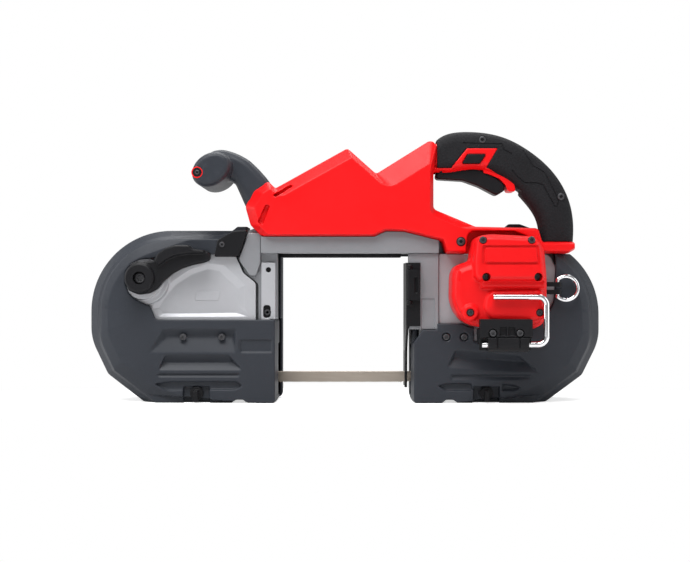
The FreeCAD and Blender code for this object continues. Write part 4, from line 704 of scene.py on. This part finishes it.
def bumperCut(points, sink, inset):
    return cutter(rounded(points, armorFront, bumper["corner"]), armorFront + sink, armorFront - overrun,
                  inset)


def foldCut(points):  # a valley fold: the middle point of each end is deepest, the others lie on the face
    sinks = (0.0, bumper["foldDepth"], 0.0)
    out = Vector((0.0, -bumper["foldOut"], 0.0))
    ends = []
    for half in (points[:3], points[:2:-1]):
        end = [onPhoto(px, py, armorFront + sink) for (px, py), sink in zip(half, sinks)]
        ends.append([end[0] + out] + end + [end[2] + out])
    return meshCutter(prismMesh("fold", *ends))


def rimSlope(way):  # front wall falls back towards the round end, inner and outer face alike
    def relief(mesh):
        spots = np.empty(len(mesh.vertices) * 3, np.float32)
        mesh.vertices.foreach_get("co", spots)
        spots = spots.reshape(-1, 3)
        deep = spots[:, 1] - armorFront
        rim = [Vector(pair) for pair in spots[deep > bumper["rimDeep"]][:, (0, 2)].tolist()]
        hull = [rim[k] for k in convex_hull_2d(rim)]
        steep = np.zeros(len(spots), np.float32)
        for first, second in zip(hull, hull[1:] + hull[:1]):
            along = (second - first).normalized() * turnOf(hull)
            share = min(max((along.y * way - bumper["rimTurn"]) * bumper["rimSpread"], 0.0), 1.0)
            reach = (bumper["rimStart"] - bumper["rimEnd"]) * share
            if reach > 0:
                gap = (spots[:, 2] - first.y) * along.x - (spots[:, 0] - first.x) * along.y
                steep = np.maximum(steep, (bumper["rimEnd"] + reach - gap) / reach)
        fade = np.clip((bumper["rimDeep"] - deep) / bumper["rimFade"], 0.0, 1.0)
        spots[:, 1] += bumper["rimDrop"] * np.minimum(steep, 1.0) * fade
        mesh.vertices.foreach_set("co", spots.ravel())
        mesh.update()
    return relief


for side in ("left", "right"):
    form = bumper[side]
    cuts = [bumperCut(points, bumper["lampDepth"], bumper["lampInset"]) for points in form["lamps"]]
    cuts += [bumperCut(points, bumper["blockDepth"], bumper["blockInset"]) for points in form["blocks"]]
    cuts += [foldCut(points) for points in form["folds"]]
    cuts += [faceCut(points, armorFront, armorFront + bumper["endDepth"]) for points in form["ends"]]
    fillBack = armorFront + bumper["fillDepth"]
    fills = [cutter(traced(points, armorFront), fillBack, armorFront) for points in form["fills"]]
    moulded(side + "_armor", **shellFinish, cutters=cuts, fills=fills, relief=rimSlope(form["way"]))

# casing: two slanted vents at the front end
vents = {
    "sink": 0.0040, "reach": 0.03, "corner": (0.0006, 2),
    "lines": [[(257.5, 222.5), (265.5, 204.5), (270, 205.5), (263, 225)],
              [(272.6, 195.5), (289.5, 185.0), (294, 185.6), (276, 197.5)]],
}
ventCuts = []
for points in vents["lines"]:
    y = max(seat(px, py, "near_casing").y for px, py in points)
    ventCuts.append(cutter(rounded(points, y, vents["corner"]), y + vents["sink"], y - vents["reach"]))
moulded("near_casing", **shellFinish, cutters=ventCuts)
moulded("far_casing", **shellFinish)
print("bumpers and casing dressed")

# front handle: a tilted oval bar across the saw and the arm that carries it
handle = {
    "arm": [(206, 158), (214, 151.5), (224, 150.5), (232, 152.5), (240, 155.5), (250, 161), (259, 169.6),
            (270, 182), (276, 196), (262, 214), (248, 211), (241.5, 196), (236, 184), (229, 181), (216, 187),
            (206, 182)],
    "armMiddle": -28.0, "armCorner": (0.006, 4),
    "armLevels": [(-46.0, 6.0), (-43.0, 2.0), (-38.0, 0.0), (-18.0, 0.0), (-13.0, 2.0), (-10.0, 6.0)],
    "barCentre": (211.0, 169.0), "barEnd": -72.0, "barWide": 0.0200, "barTall": 0.0154, "barTilt": 0.58,
    "barSides": 56, "barLevels": [(-76.0, 4.0), (-75.0, 2.4), (-72.5, 0.9), (-69.0, 0.0), (13.0, 0.0),
                                  (17.0, 1.2), (19.5, 4.0)],
    "skin": (0.0008, 16, 0.30),
}
work = bmesh.new()
armLine = rounded(handle["arm"], depth(handle["armMiddle"]), handle["armCorner"])
layered(work, armLine, millimetres(handle["armLevels"]))
barSpot = onPhoto(*handle["barCentre"], depth(handle["barEnd"]))
barLine = roundOutline(barSpot, handle["barWide"], handle["barTall"], handle["barTilt"], handle["barSides"])
layered(work, barLine, millimetres(handle["barLevels"]))
takesOver(melted("front_handle", work, "armor", *handle["skin"]), "front_handle")

# tension lever: tall hub, curved arm and thumb rise
lever = {
    "hub": (139.0, 278.0), "hubAt": -63.0, "hubFoot": 16.6, "hubShare": 0.958,
    "hubLevels": [(-64.0, 3.5), (-62.8, 2.0), (-54.0, 0.4), (-49.2, 0.0)],
    "middle": -54.1, "armCorner": (0.003, 3), "armLevels": [(-59.0, 1.8), (-57.2, 0.0), (-49.2, 0.0)],
    "arm": [(128, 268), (134, 263), (148, 261), (156, 260), (162, 255), (176, 252), (192, 251.5),
            (206, 250.5), (210.5, 252.5), (210.5, 260.5), (204, 263), (194, 265), (184, 268), (174, 273),
            (164.5, 281), (158, 289), (150, 293.5), (139, 295), (128, 290)],
    "riseCorner": (0.0015, 3), "riseLevels": [(-64.5, 1.2), (-63.0, 0.0), (-56.0, 0.0)],
    "rise": [(155, 261), (159, 253.5), (167, 248), (176, 245.3), (190, 245.3), (194, 249), (206, 250.5),
             (205, 253.5), (192, 253.5), (177, 255.5), (167, 260), (160, 266)],
    "skin": (0.00050, 2, 0.4),
    "holeRadius": 0.0062, "holeFloor": -57.0, "holeFront": -70.0, "screwTop": -59.0,
    "screwSize": (0.0056, 0.0025),
}
work = bmesh.new()
hubSpot = onPhoto(*lever["hub"], depth(lever["hubAt"]))
hubPixel = shot["pixel"] * lever["hubShare"]
hubLevels = [(depth(y), shrink * hubPixel) for y, shrink in lever["hubLevels"]]
layered(work, roundOutline(hubSpot, lever["hubFoot"] * hubPixel), hubLevels)
for form in ("arm", "rise"):
    line = rounded(lever[form], depth(lever["middle"]), lever[form + "Corner"])
    layered(work, line, millimetres(lever[form + "Levels"]))
leverSkin = melted("tension_lever", work, slotOf["tension_lever"], *lever["skin"])
hole = roundOutline(hubSpot, lever["holeRadius"])
carve(leverSkin, [cutter(hole, depth(lever["holeFloor"]), depth(lever["holeFront"]))])
shaded(leverSkin)
takesOver(leverSkin, "tension_lever")
screwSpot = Vector((hubSpot.x, depth(lever["screwTop"]), hubSpot.z))
screwSet("lever_screw", [(screwSpot, *lever["screwSize"], -1.0)], bodyOf["tension_lever"])

# trigger, and the grip with its seams cut in
grip = {
    "trigger": (0.0006, 6, 0.4), "skin": (0.0007, 4, 0.5), "seamRadius": 0.00085, "seamSides": 8,
    "seamSteps": 6, "seams": [[(463, 143), (480, 143.5), (502, 144), (504, 150), (512, 154)],
              [(523, 150), (528, 158), (533, 166), (539, 169), (545, 173), (552, 187), (559, 201),
               (557, 207)],
              [(512, 170), (517.5, 177), (525, 183), (536, 183), (543, 185), (549, 196), (555, 207)]],
}


def seamCut(line):
    steps = grip["seamSteps"]
    path = []
    for (ax, ay), (bx, by) in zip(line, line[1:]):
        for k in range(steps):
            path.append(seat(ax + (bx - ax) * k / steps, ay + (by - ay) * k / steps, "rear_grip"))
    path.append(seat(*line[-1], "rear_grip"))
    return meshCutter(tubeMesh("seam", path, grip["seamRadius"], grip["seamSides"]))


moulded("trigger", *grip["trigger"])
moulded("rear_grip", *grip["skin"], seams=[seamCut(line) for line in grip["seams"]])
print("handles and lever made")

# tension plate: shallow panel with sloping walls, and steps round the lever's boss
panel = {
    "face": (245, 300), "skin": (0.0006, 2, 0.25),
    "rim": [(158, 317), (151, 309), (159, 296), (172, 281), (190, 269), (209, 263), (225, 265), (246.5, 285),
            (246.5, 309), (250, 317)],
    "floor": [(165, 313.5), (159, 308), (165, 297), (176, 284.5), (192, 274), (208, 269), (219, 271),
              (238, 289), (238, 306), (236, 312.5)],
    "sink": 0.0020, "lip": 0.0002, "level": boxed(157, 258, 243, 319), "levelFront": -47.3,
    "steps": [(0.0275, 0.0016), (0.0220, 0.0036)], "stepSlope": 0.0012, "stepFoot": 0.001, "stepSides": 64,
}
plateFront = seat(*panel["face"], "tension_cover").y
above = [onPhoto(px, py, plateFront - panel["lip"]) for px, py in panel["rim"]]
below = [onPhoto(px, py, plateFront + panel["sink"]) for px, py in panel["floor"]]
plateCuts = [cutter(traced(panel["level"], plateFront), plateFront, depth(panel["levelFront"])),
             meshCutter(ringMesh("panel", [above, below]))]
hubSteps = []
for reach, rise in panel["steps"]:
    ring = roundOutline(hubSpot, reach, sides=panel["stepSides"])
    hubSteps.append(cutter(ring, plateFront - rise, plateFront + panel["stepFoot"], panel["stepSlope"]))
moulded("tension_cover", *panel["skin"], cutters=plateCuts, bosses=hubSteps)

# motor cover: a soft moulded shell with its label frame, rib and screw wells
cover = {
    "forms": [
        {"at": -80.0, "corner": (0.004, 3), "levels": [(-41.9, 0.0), (-76.0, 0.0), (-81.5, 1.2),
                                                       (-85.0, 4.0), (-87.0, 8.0)],
         "points": [(471, 261), (464, 263), (455, 267), (452, 275), (451.5, 300), (455, 311), (461, 320),
                    (470, 325.5), (483, 328), (535, 329), (544, 324), (547, 308), (547.5, 280), (545, 250),
                    (539, 239.5), (533, 236), (491, 234), (481, 235.3), (475, 239), (472, 250)]},
        {"at": -96.0, "corner": (0.003, 3), "levels": [(-80.0, 0.0), (-95.5, 0.6), (-98.5, 2.0),
                                                       (-100.0, 4.6)],
         "points": [(476, 239), (481, 235.6), (491, 234.6), (533, 236.6), (540, 242), (544, 256), (546, 278),
                    (543, 281.5), (478, 281.5), (474, 277), (473.5, 262)]},
        {"at": -90.0, "corner": None, "levels": [(-80.0, 0.0), (-91.0, 0.6), (-92.4, 2.4)],
         "points": boxed(481, 280, 546, 288.5)},
        {"at": -89.0, "corner": (0.005, 3), "levels": [(-80.0, 0.0), (-88.5, 0.4), (-90.5, 2.4),
                                                       (-91.4, 6.0)],
         "points": [(491, 290), (543, 289), (544.5, 304), (542, 319), (533, 324), (515, 322), (491, 321),
                    (483.5, 310), (486, 296)]},
    ],
    "bosses": [(470.6, 313, 8.4, -89.5), (540.5, 312.3, 7.4, -90.5)], "bossEdge": 1.4, "bossFoot": -70.0,
    "bossPixel": 0.00095, "skin": (0.0007, 4, 0.45), "wall": 0.0035, "roomFront": -84.5, "roomBack": -38.0,
    "label": [(482, 264.5), (482.5, 245), (539, 245), (540.5, 264.5)], "labelFront": -100.0,
    "labelSink": 0.0018, "labelCorner": (0.002, 3),
    "pad": {"points": [(485.2, 262.0), (485.7, 247.6), (536.3, 247.6), (537.6, 262.0)], "corner": (0.0016, 3),
            "proud": 0.0003, "deep": 0.0025, "edge": 0.0004, "slope": 0.0},
    "slit": [(457.6, 281), (457.6, 271.5), (461, 271), (461, 281)], "slitFace": -86.6, "slitSink": 0.0014,
    "slitReach": 0.012, "slitCorner": (0.0008, 2), "headShare": 0.84, "headTall": 0.0026, "wellRoom": 0.0006,
    "wellReach": 0.03, "wellBack": -80.0,
}
work = bmesh.new()
coverLines = []
for form in cover["forms"]:
    line = traced(form["points"], depth(form["at"]))
    coverLines.append(softened(line, *form["corner"]) if form["corner"] else line)
    layered(work, coverLines[-1], millimetres(form["levels"]))
for px, py, reach, front in cover["bosses"]:
    ring = roundOutline(onPhoto(px, py, depth(front)), reach * cover["bossPixel"])
    bossLevels = [(cover["bossFoot"], 0.0), (front + cover["bossEdge"], 0.0), (front, cover["bossEdge"])]
    layered(work, ring, millimetres(bossLevels))
coverSkin = melted("motor_cover", work, slotOf["motor_cover"], *cover["skin"])
labelY = depth(cover["labelFront"])
labelLine = rounded(cover["label"], labelY, cover["labelCorner"])
slitY = depth(cover["slitFace"])
slitLine = rounded(cover["slit"], slitY, cover["slitCorner"])
roomLine = insetOutline(coverLines[0], cover["wall"])
coverCuts = [cutter(labelLine, labelY + cover["labelSink"], labelY - overrun),
             cutter(slitLine, slitY + cover["slitSink"], slitY - cover["slitReach"]),
             cutter(roomLine, depth(cover["roomFront"]), depth(cover["roomBack"]))]
heads = []
for low, high in islands("case_screws"):
    head = Vector(((low.x + high.x) / 2, low.y, (low.z + high.z) / 2))
    reach = (high.x - low.x) / 2 * cover["headShare"]
    heads.append((head, reach, cover["headTall"], -1.0))
    if low.y < depth(cover["wellBack"]) and low.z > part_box("hook_bracket")[1].z:
        well = roundOutline(head, reach + cover["wellRoom"])
        coverCuts.append(cutter(well, low.y + cover["headTall"], low.y - cover["wellReach"]))
carve(coverSkin, coverCuts)
shaded(coverSkin)
takesOver(coverSkin, "motor_cover")
plate("label_pad", cover["pad"], labelY, "casing_red")

# hook block: two windows, the barrel's slots and the corners where the rod comes out
block = {
    "windows": [boxed(500, 327, 506.8, 336), boxed(508.6, 327, 515.4, 336)], "windowSink": 0.0030,
    "slots": [boxed(497.0, 338.0, 498.2, 352.0), boxed(519.5, 338.0, 520.7, 352.0)], "slotSink": 0.0016,
    "corners": [boxed(476, 338.5, 488.5, 356), boxed(529.5, 338.5, 538, 356)], "rodRoom": 0.0006,
    "lines": [boxed(478, 337.0, 536, 338.2)], "lineSink": 0.0014, "skin": (0.0005, 2, 0.3),
}
blockY = frontOf("hook_bracket")
blockBacks = {"windows": blockY + block["windowSink"], "slots": blockY + block["slotSink"],
              "corners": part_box("hang_hook")[1].y + block["rodRoom"], "lines": blockY + block["lineSink"]}
blockCuts = []
for key, back in blockBacks.items():
    blockCuts += [faceCut(points, blockY, back) for points in block[key]]
moulded("hook_bracket", *block["skin"], cutters=blockCuts)

# everything else that shows
shellEdges = {
    "main_frame": 0.0008, "lock_button": 0.0006, "shoe_lock": 0.0005, "ring_lugs": 0.0006,
    "left_guide_block": 0.0006, "right_guide_block": 0.0006, "handle_rings": 0.0003, "hang_hook": 0.0,
    "hang_ring": 0.0, "saw_blade": 0.0,
}
for node, edge in shellEdges.items():
    dressed(node, edge)
column = {"panel": boxed(421.5, 298.5, 434.5, 334), "sink": 0.0012, "edge": 0.0006}
columnY = frontOf("right_guide_bracket")
dressed("right_guide_bracket", column["edge"], [faceCut(column["panel"], columnY, columnY + column["sink"])])
softFinish = {"passes": 3, "keep": 0.2}
softShells = {"left_wheel_guard": 0.0010, "right_wheel_guard": 0.0010, "neck_cover": 0.0007,
              "shoe_plate": 0.0004, "left_guard_latch": 0.0004, "right_guard_latch": 0.0004}
for node, voxel in softShells.items():
    moulded(node, voxel, **softFinish)

# guide strip at the left of the throat: a slot cut through it, with black slabs behind the slot and the hole
# as painted shade
strip = {"voxel": 0.0004, "slot": boxed(263.2, 305, 270.6, 318), "slotCorner": (0.0035, 5), "overrun": 0.002,
         "hole": (268, 270.3), "holeRadius": 0.0037, "lap": 0.0004, "shadeDeep": 0.0006, "shadeEdge": 0.0001,
         "screw": (267.3, 312.3), "screwRise": 0.0022, "screwSize": (0.0030, 0.0024)}
stripFront = frontOf("left_guide_bracket")
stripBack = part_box("left_guide_bracket")[1].y
slotLine = rounded(strip["slot"], stripFront, strip["slotCorner"])
slotCut = cutter(slotLine, stripBack + strip["overrun"], stripFront - strip["overrun"])
moulded("left_guide_bracket", strip["voxel"], **softFinish, cutters=[slotCut])
holeLine = roundOutline(onPhoto(*strip["hole"], stripFront), strip["holeRadius"])
# black slabs where the slot and the hole would look dark: painted shade of the openings' depth
for name, line in (("strip_slot", insetOutline(slotLine, -strip["lap"])), ("strip_hole", holeLine)):
    shadeBack = stripBack + strip["shadeDeep"]
    slab(name, line, stripBack - strip["lap"], shadeBack, "black_plastic", strip["shadeEdge"])
screwSpot = onPhoto(*strip["screw"], stripBack - strip["screwRise"])
screwSet("strip_screw", [(screwSpot, *strip["screwSize"], -1.0)])

# gear case: its hook pad is narrower than the block before it
gearCase = {"voxel": 0.0007, "padSide": boxed(470, 316, 481.8, 358), "padAt": -67.0, "padFront": -70.0,
            "padBack": -41.8, "dark": (0.235, 0.240, 0.255), "pale": (0.335, 0.340, 0.360)}
padLine = traced(gearCase["padSide"], depth(gearCase["padAt"]))
padCut = cutter(padLine, depth(gearCase["padBack"]), depth(gearCase["padFront"]))
moulded("gear_case", gearCase["voxel"], **softFinish, cutters=[padCut])
casePaint = castMetal("gear case paint", gearCase["dark"], gearCase["pale"], 0.42, 0.20, 0.00006)
skins["gear_case"].data.materials[0] = casePaint
print("shells dressed,", len(skins))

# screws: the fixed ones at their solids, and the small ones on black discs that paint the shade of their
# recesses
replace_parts(screwSet("case_screw_heads", heads), "case_screws")
# shoulder plate: black plastic whose darkness is painted shade of the inclined face
wedge = {"points": [(214, 257), (217, 240), (233, 231), (248, 230), (238.5, 257)], "face": (224, 250),
         "corner": (0.002, 4), "proud": 0.0016, "deep": 0.002, "edge": 0.0008, "slope": 0.0008}
wedgeY = seat(*wedge["face"], "left_armor").y
plate("shoulder_plate", wedge, wedgeY, "black_plastic")
# black discs round the small screws: painted shade of the recesses the screws sit in
shadeDiscs = {"casing": (461, 241.6, 0.0036, "near_casing"), "gripTop": (482.3, 139.6, 0.0034, "rear_grip"),
        "gripTail": (561.0, 196.6, 0.0034, "rear_grip"), "wedge": (222, 244.5, 0.0026, None)}
shadeDisc = {"wideShare": 1.28, "proud": 0.0004, "deep": 0.002, "edge": 0.0003, "headOut": 0.0010,
       "headTall": 0.0016}
small = []
for key, (px, py, radius, node) in shadeDiscs.items():
    y = seat(px, py, node).y if node else wedgeY - wedge["proud"]
    spot = onPhoto(px, py, y)
    slab("screw_cup_" + key, roundOutline(spot, radius * shadeDisc["wideShare"]), y - shadeDisc["proud"], y + shadeDisc["deep"],
         "black_plastic", shadeDisc["edge"])
    small.append((spot - Vector((0.0, shadeDisc["headOut"], 0.0)), radius, shadeDisc["headTall"], -1.0))
barEnd = {"discShare": 0.42, "screwShare": 0.20, "deep": 0.004, "edge": 0.0003, "headOut": 0.0004}
for low, high in islands("handle_rings"):  # black discs inside the two rings, painted shade of the bar's hollow ends
    near = low.y < wheelPlane and high.y < wheelPlane
    way = -1.0 if near else 1.0
    wide = high.x - low.x
    middle = Vector(((low.x + high.x) / 2, low.y if near else high.y, (low.z + high.z) / 2))
    span = sorted((middle.y, middle.y - way * barEnd["deep"]))
    slab("bar_end_near" if near else "bar_end_far", roundOutline(middle, wide * barEnd["discShare"]), *span,
         "black_plastic", barEnd["edge"])
    head = middle + Vector((0.0, way * barEnd["headOut"], 0.0))
    small.append((head, wide * barEnd["screwShare"], shadeDisc["headTall"], way))
farScrews = {"places": [(262, 214), (330, 226), (400, 214), (424, 166), (352, 168)], "at": -1.0,
             "proud": 0.0006, "size": (0.0038, 0.0018)}
for place in farScrews["places"]:
    spot = onPhoto(*place, depth(farScrews["at"]))
    behind = Vector((spot.x, shot["distance"], spot.z))
    hit = casters["far_casing"].ray_cast(behind, Vector((0.0, -1.0, 0.0)))[0]
    if hit is not None:
        small.append((hit + Vector((0.0, farScrews["proud"], 0.0)), *farScrews["size"], 1.0))
screwSet("small_screws", small)

# blade covers at the back: a raised panel with slanted slots
backPanel = {"border": 0.013, "rise": 0.0018, "foot": 0.001, "slope": 0.0016, "edge": 0.0005, "slots": 5,
             "slotGap": 0.013, "slotWide": 0.0042, "slotLong": 0.052, "slotCorner": (0.0018, 3),
             "slotFloor": 0.0003, "slotReach": 0.006, "slant": 0.45, "flat": 0.99}
for side in ("left", "right"):
    node = side + "_wheel_guard"
    mesh = plainCopy(node)
    face = max((p for p in mesh.polygons if p.normal.y > backPanel["flat"]), key=lambda p: p.area)
    spots = [mesh.vertices[i].co.copy() for i in face.vertices]
    y = spots[0].y
    bpy.data.meshes.remove(mesh)
    line = trimmed([(spot.x, spot.z) for spot in spots], backPanel["border"])
    name = side + "_cover_panel"
    panelMesh = slabMesh(name, line, y + backPanel["rise"], y - backPanel["foot"], backPanel["slope"])
    piece = addPiece(name, panelMesh, "armor", bodyOf[node])
    midX, midZ = [(min(row) + max(row)) / 2 for row in zip(*line)]
    half = backPanel["slotLong"] / 2
    lean = backPanel["slant"] * half
    wide = backPanel["slotWide"] / 2
    cuts = []
    for k in range(backPanel["slots"]):
        x = midX + (k - (backPanel["slots"] - 1) / 2) * backPanel["slotGap"]
        slot = [(x - lean - wide, midZ - half), (x - lean + wide, midZ - half),
                (x + lean + wide, midZ + half), (x + lean - wide, midZ + half)]
        slotLine = softened(slot, *backPanel["slotCorner"])
        cuts.append(cutter(slotLine, y + backPanel["slotFloor"], y + backPanel["slotReach"]))
    carve(piece, cuts)
    softEdges(piece, backPanel["edge"])

# red strip under the grip, behind the trigger
gripStrip = {"points": [(484, 167.5), (498, 169.5), (508, 176), (514.5, 184), (515.5, 191.5), (508, 191.5),
                        (506, 185.5), (500, 179), (490, 174.5), (483, 172.8)],
             "front": -40.0, "corner": (0.002, 3), "proud": 0.0, "deep": 0.024, "edge": 0.0010, "slope": 0.0}
plate("grip_strip", gripStrip, depth(gripStrip["front"]), "casing_red")

# column shoulder beside the tension plate, and the dark liner under the neck
shoulder = {"points": [(237, 258.5), (248, 231), (262, 231), (262, 263), (256.5, 277.5), (249.5, 277.5),
                       (238.5, 263)],
            "rise": 0.0020, "corner": (0.0015, 2), "proud": 0.0, "deep": 0.008, "edge": 0.0006,
            "slope": 0.0022}
plate("column_shoulder", shoulder, plateFront - shoulder["rise"], "frame_grey")
liner = {"points": boxed(280.0, 253.0, 401.0, 257.5), "front": -14.0, "back": 7.0, "edge": 0.0008}
linerY = depth(liner["front"])
linerLine = traced(liner["points"], linerY)
slab("throat_liner", linerLine, linerY, depth(liner["back"]), "black_plastic", liner["edge"])

# bare badge place on the tension plate
badge = {"points": [(195, 300.5), (197, 291), (220.5, 291), (218.5, 300.5)], "corner": (0.001, 3),
         "proud": 0.0006, "deep": 0.001, "edge": 0.0003, "slope": 0.0}
plate("badge_plate", badge, plateFront + panel["sink"], "plate_silver")

# blade teeth along the lower edge in the throat
teeth = {"pitch": 0.00215, "height": 0.0015, "thick": 0.00060, "sink": 0.0003, "left": -0.0665,
         "right": 0.0585, "leadShare": 0.30, "away": 0.03}
bladeTree = caster("saw_blade")
floorSpot = Vector((0.0, wheelPlane, 0.0))
face, normal = bladeTree.ray_cast(floorSpot, Vector((0.0, 0.0, 1.0)))[:2]
across = normal.cross(Vector((1.0, 0.0, 0.0)))
across *= -math.copysign(1.0, across.z)
middle = face - normal * teeth["thick"] / 2
bladeEdge = bladeTree.ray_cast(middle + across * teeth["away"], -across)[0]
root = bladeEdge - across * teeth["sink"]
tip = bladeEdge + across * teeth["height"]
work = bmesh.new()
for k in range(int((teeth["right"] - teeth["left"]) / teeth["pitch"])):
    x = teeth["left"] + k * teeth["pitch"]
    ends = ((root, x), (root, x + teeth["pitch"]), (tip, x + teeth["pitch"] * teeth["leadShare"]))
    addRings(work, [[spot + normal * teeth["thick"] * way + Vector((along, 0.0, 0.0)) for spot, along in ends]
                    for way in (-0.5, 0.5)])
addPiece("blade_teeth", finished("blade_teeth", work), "blade_steel", bodyOf["saw_blade"])

# springs: real coils wound inside each spring's box
spring = {"wire": 0.00075, "triggerWire": 0.00045, "pitch": 0.0030, "leastTurns": 3, "stepsPerTurn": 16,
          "sides": 8, "slack": 0.0003}
limits = {joint["name"]: joint for joint in frame["record"]["behaviour"]["joints"]}


def coiled(node, along, across, wire):  # along and across are axis numbers
    work = bmesh.new()
    for low, high in islands(node):
        radius = (high[across[0]] - low[across[0]]) / 2 - wire
        length = high[along] - low[along] - 2 * wire
        count = max(spring["leastTurns"], round(length / spring["pitch"])) * spring["stepsPerTurn"]
        path = []
        for k in range(count + 1):
            turn = 2 * math.pi * k / spring["stepsPerTurn"]
            spot = (low + high) / 2
            spot[along] = low[along] + wire + length * k / count
            spot[across[0]] += radius * math.cos(turn)
            spot[across[1]] += radius * math.sin(turn)
            path.append(spot)
        mesh = tubeMesh("coil", path, wire, spring["sides"])
        work.from_mesh(mesh)
        bpy.data.meshes.remove(mesh)
    name = node + "_coil"
    piece = addPiece(name, finished(name, work), slotOf[node], bodyOf[node])
    piece.data.shade_smooth()
    takesOver(piece, node)
    return piece


springLow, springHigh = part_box("tension_springs")
travel = limits["tension_slide"]["range_m"][1]
tensionCoil = coiled("tension_springs", 0, (1, 2), spring["wire"])
1.0 - travel / (springHigh.x - springLow.x)
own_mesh(tensionCoil)
springLow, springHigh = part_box("trigger_spring")
swing = math.sin(math.radians(limits["trigger_pull"]["range_deg"][1]))
lift = (springHigh.x - limits["trigger_pull"]["pos_m"][0]) * swing + spring["slack"]
triggerCoil = coiled("trigger_spring", 2, (0, 1), spring["triggerWire"])
1.0 - lift / (springHigh.z - springLow.z)
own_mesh(triggerCoil)
print("springs wound")

for node, thing in nodes.items():  # inner pieces keep their solids
    if node not in skins:
        for place in thing.material_slots:
            place.link = "OBJECT"
            place.material = finishes[slotOf[node]]

# floor, light and camera
studio = {
    "floorHalf": 3.0, "floorDark": (0.79, 0.79, 0.79), "floorPale": (0.82, 0.82, 0.82), "floorLift": 0.62,
    "shadowNear": 0.20, "shadowFar": 0.30, "shadowOval": (0.6, 1.6, 1.0), "skyLight": 0.20, "skyGloss": 0.16,
    "lamps": {  # place, aim, size in metres and power in watts
        "top softbox": ((-0.25, -0.70, 1.25), (0.0, 0.0, 0.10), (1.2, 0.7), 27.0),
        "back softbox": ((0.1, 0.55, 1.20), (0.0, 0.0, 0.12), (1.4, 0.6), 12.0),
        "left softbox": ((-1.35, -0.20, 0.55), (0.0, 0.0, 0.12), (0.9, 1.1), 10.0),
        "right softbox": ((1.35, -0.20, 0.50), (0.1, 0.0, 0.12), (0.9, 1.1), 6.0),
    },
}


def added(name, data):
    thing = bpy.data.objects.new(name, data)
    bpy.context.scene.collection.objects.link(thing)
    return thing


def makeFloor():  # white to the camera, with the saw's shadow near it
    half = studio["floorHalf"]
    mesh = bpy.data.meshes.new("floor")
    corner = [(-half, -half, 0), (half, -half, 0), (half, half, 0), (-half, half, 0)]
    mesh.from_pydata(corner, [], [(0, 1, 2, 3)])
    floor = added("floor", mesh)
    finish = Finish("pale floor")
    ray = finish.node("ShaderNodeLightPath", output="Is Camera Ray")
    oval = finish.place(studio["shadowOval"])
    away = finish.node("ShaderNodeVectorMath", {"operation": "LENGTH"}, {0: oval}, "Value")
    share = ((away - studio["shadowNear"]) * (1.0 / (studio["shadowFar"] - studio["shadowNear"]))).clipped()
    tint = finish.tint(studio["floorDark"], studio["floorPale"], finish.noise(6.0, 2.0))
    paint = finish.node("ShaderNodeBsdfDiffuse", sockets={"Color": tint})
    both = finish.node("ShaderNodeAddShader", sockets={0: paint, 1: finish.glow(studio["floorLift"])})
    seen = finish.node("ShaderNodeMixShader", sockets={0: share, 1: both, 2: finish.glow(1.0)})
    ground = finish.node("ShaderNodeMixShader", sockets={0: ray, 1: paint, 2: seen})
    finish.node("ShaderNodeOutputMaterial", sockets={"Surface": ground})
    mesh.materials.append(finish.owner)
    floor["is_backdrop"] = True


def makeWorld():
    finish = Finish("studio", bpy.data.worlds)
    bpy.context.scene.world = finish.owner
    camera, glossy, through = [finish.node("ShaderNodeLightPath", output="Is " + kind + " Ray")
                               for kind in ("Camera", "Glossy", "Transmission")]
    seen = (camera + through).clipped()
    level = seen + (1.0 - seen) * (studio["skyLight"] + studio["skyGloss"] * glossy)
    sky = finish.node("ShaderNodeBackground", sockets={"Color": (1.0, 1.0, 1.0, 1.0), "Strength": level})
    finish.node("ShaderNodeOutputWorld", sockets={"Surface": sky})


def addLamp(name, spot, aim, size, power):
    lamp = bpy.data.lights.new(name, "AREA")
    lamp.shape = "RECTANGLE"
    lamp.size, lamp.size_y = size
    lamp.energy = power
    thing = added(name, lamp)
    thing.location = spot
    thing.rotation_euler = (Vector(aim) - Vector(spot)).to_track_quat("-Z", "Y").to_euler()


def makeCamera():
    lens = bpy.data.cameras.new("photo camera")
    lens.sensor_fit = "HORIZONTAL"
    lens.sensor_width = shot["sensor"]
    lens.lens = shot["sensor"] * shot["distance"] / (shot["width"] * shot["pixel"])
    camera = added("photo camera", lens)
    camera.location = eye
    camera.rotation_euler = (math.pi / 2, 0.0, 0.0)
    bpy.context.scene.camera = camera


makeFloor()
makeWorld()
for name, settings in studio["lamps"].items():
    addLamp(name, *settings)
makeCamera()
bpy.context.scene.view_settings.view_transform = "Standard"
print("studio set")

low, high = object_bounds()
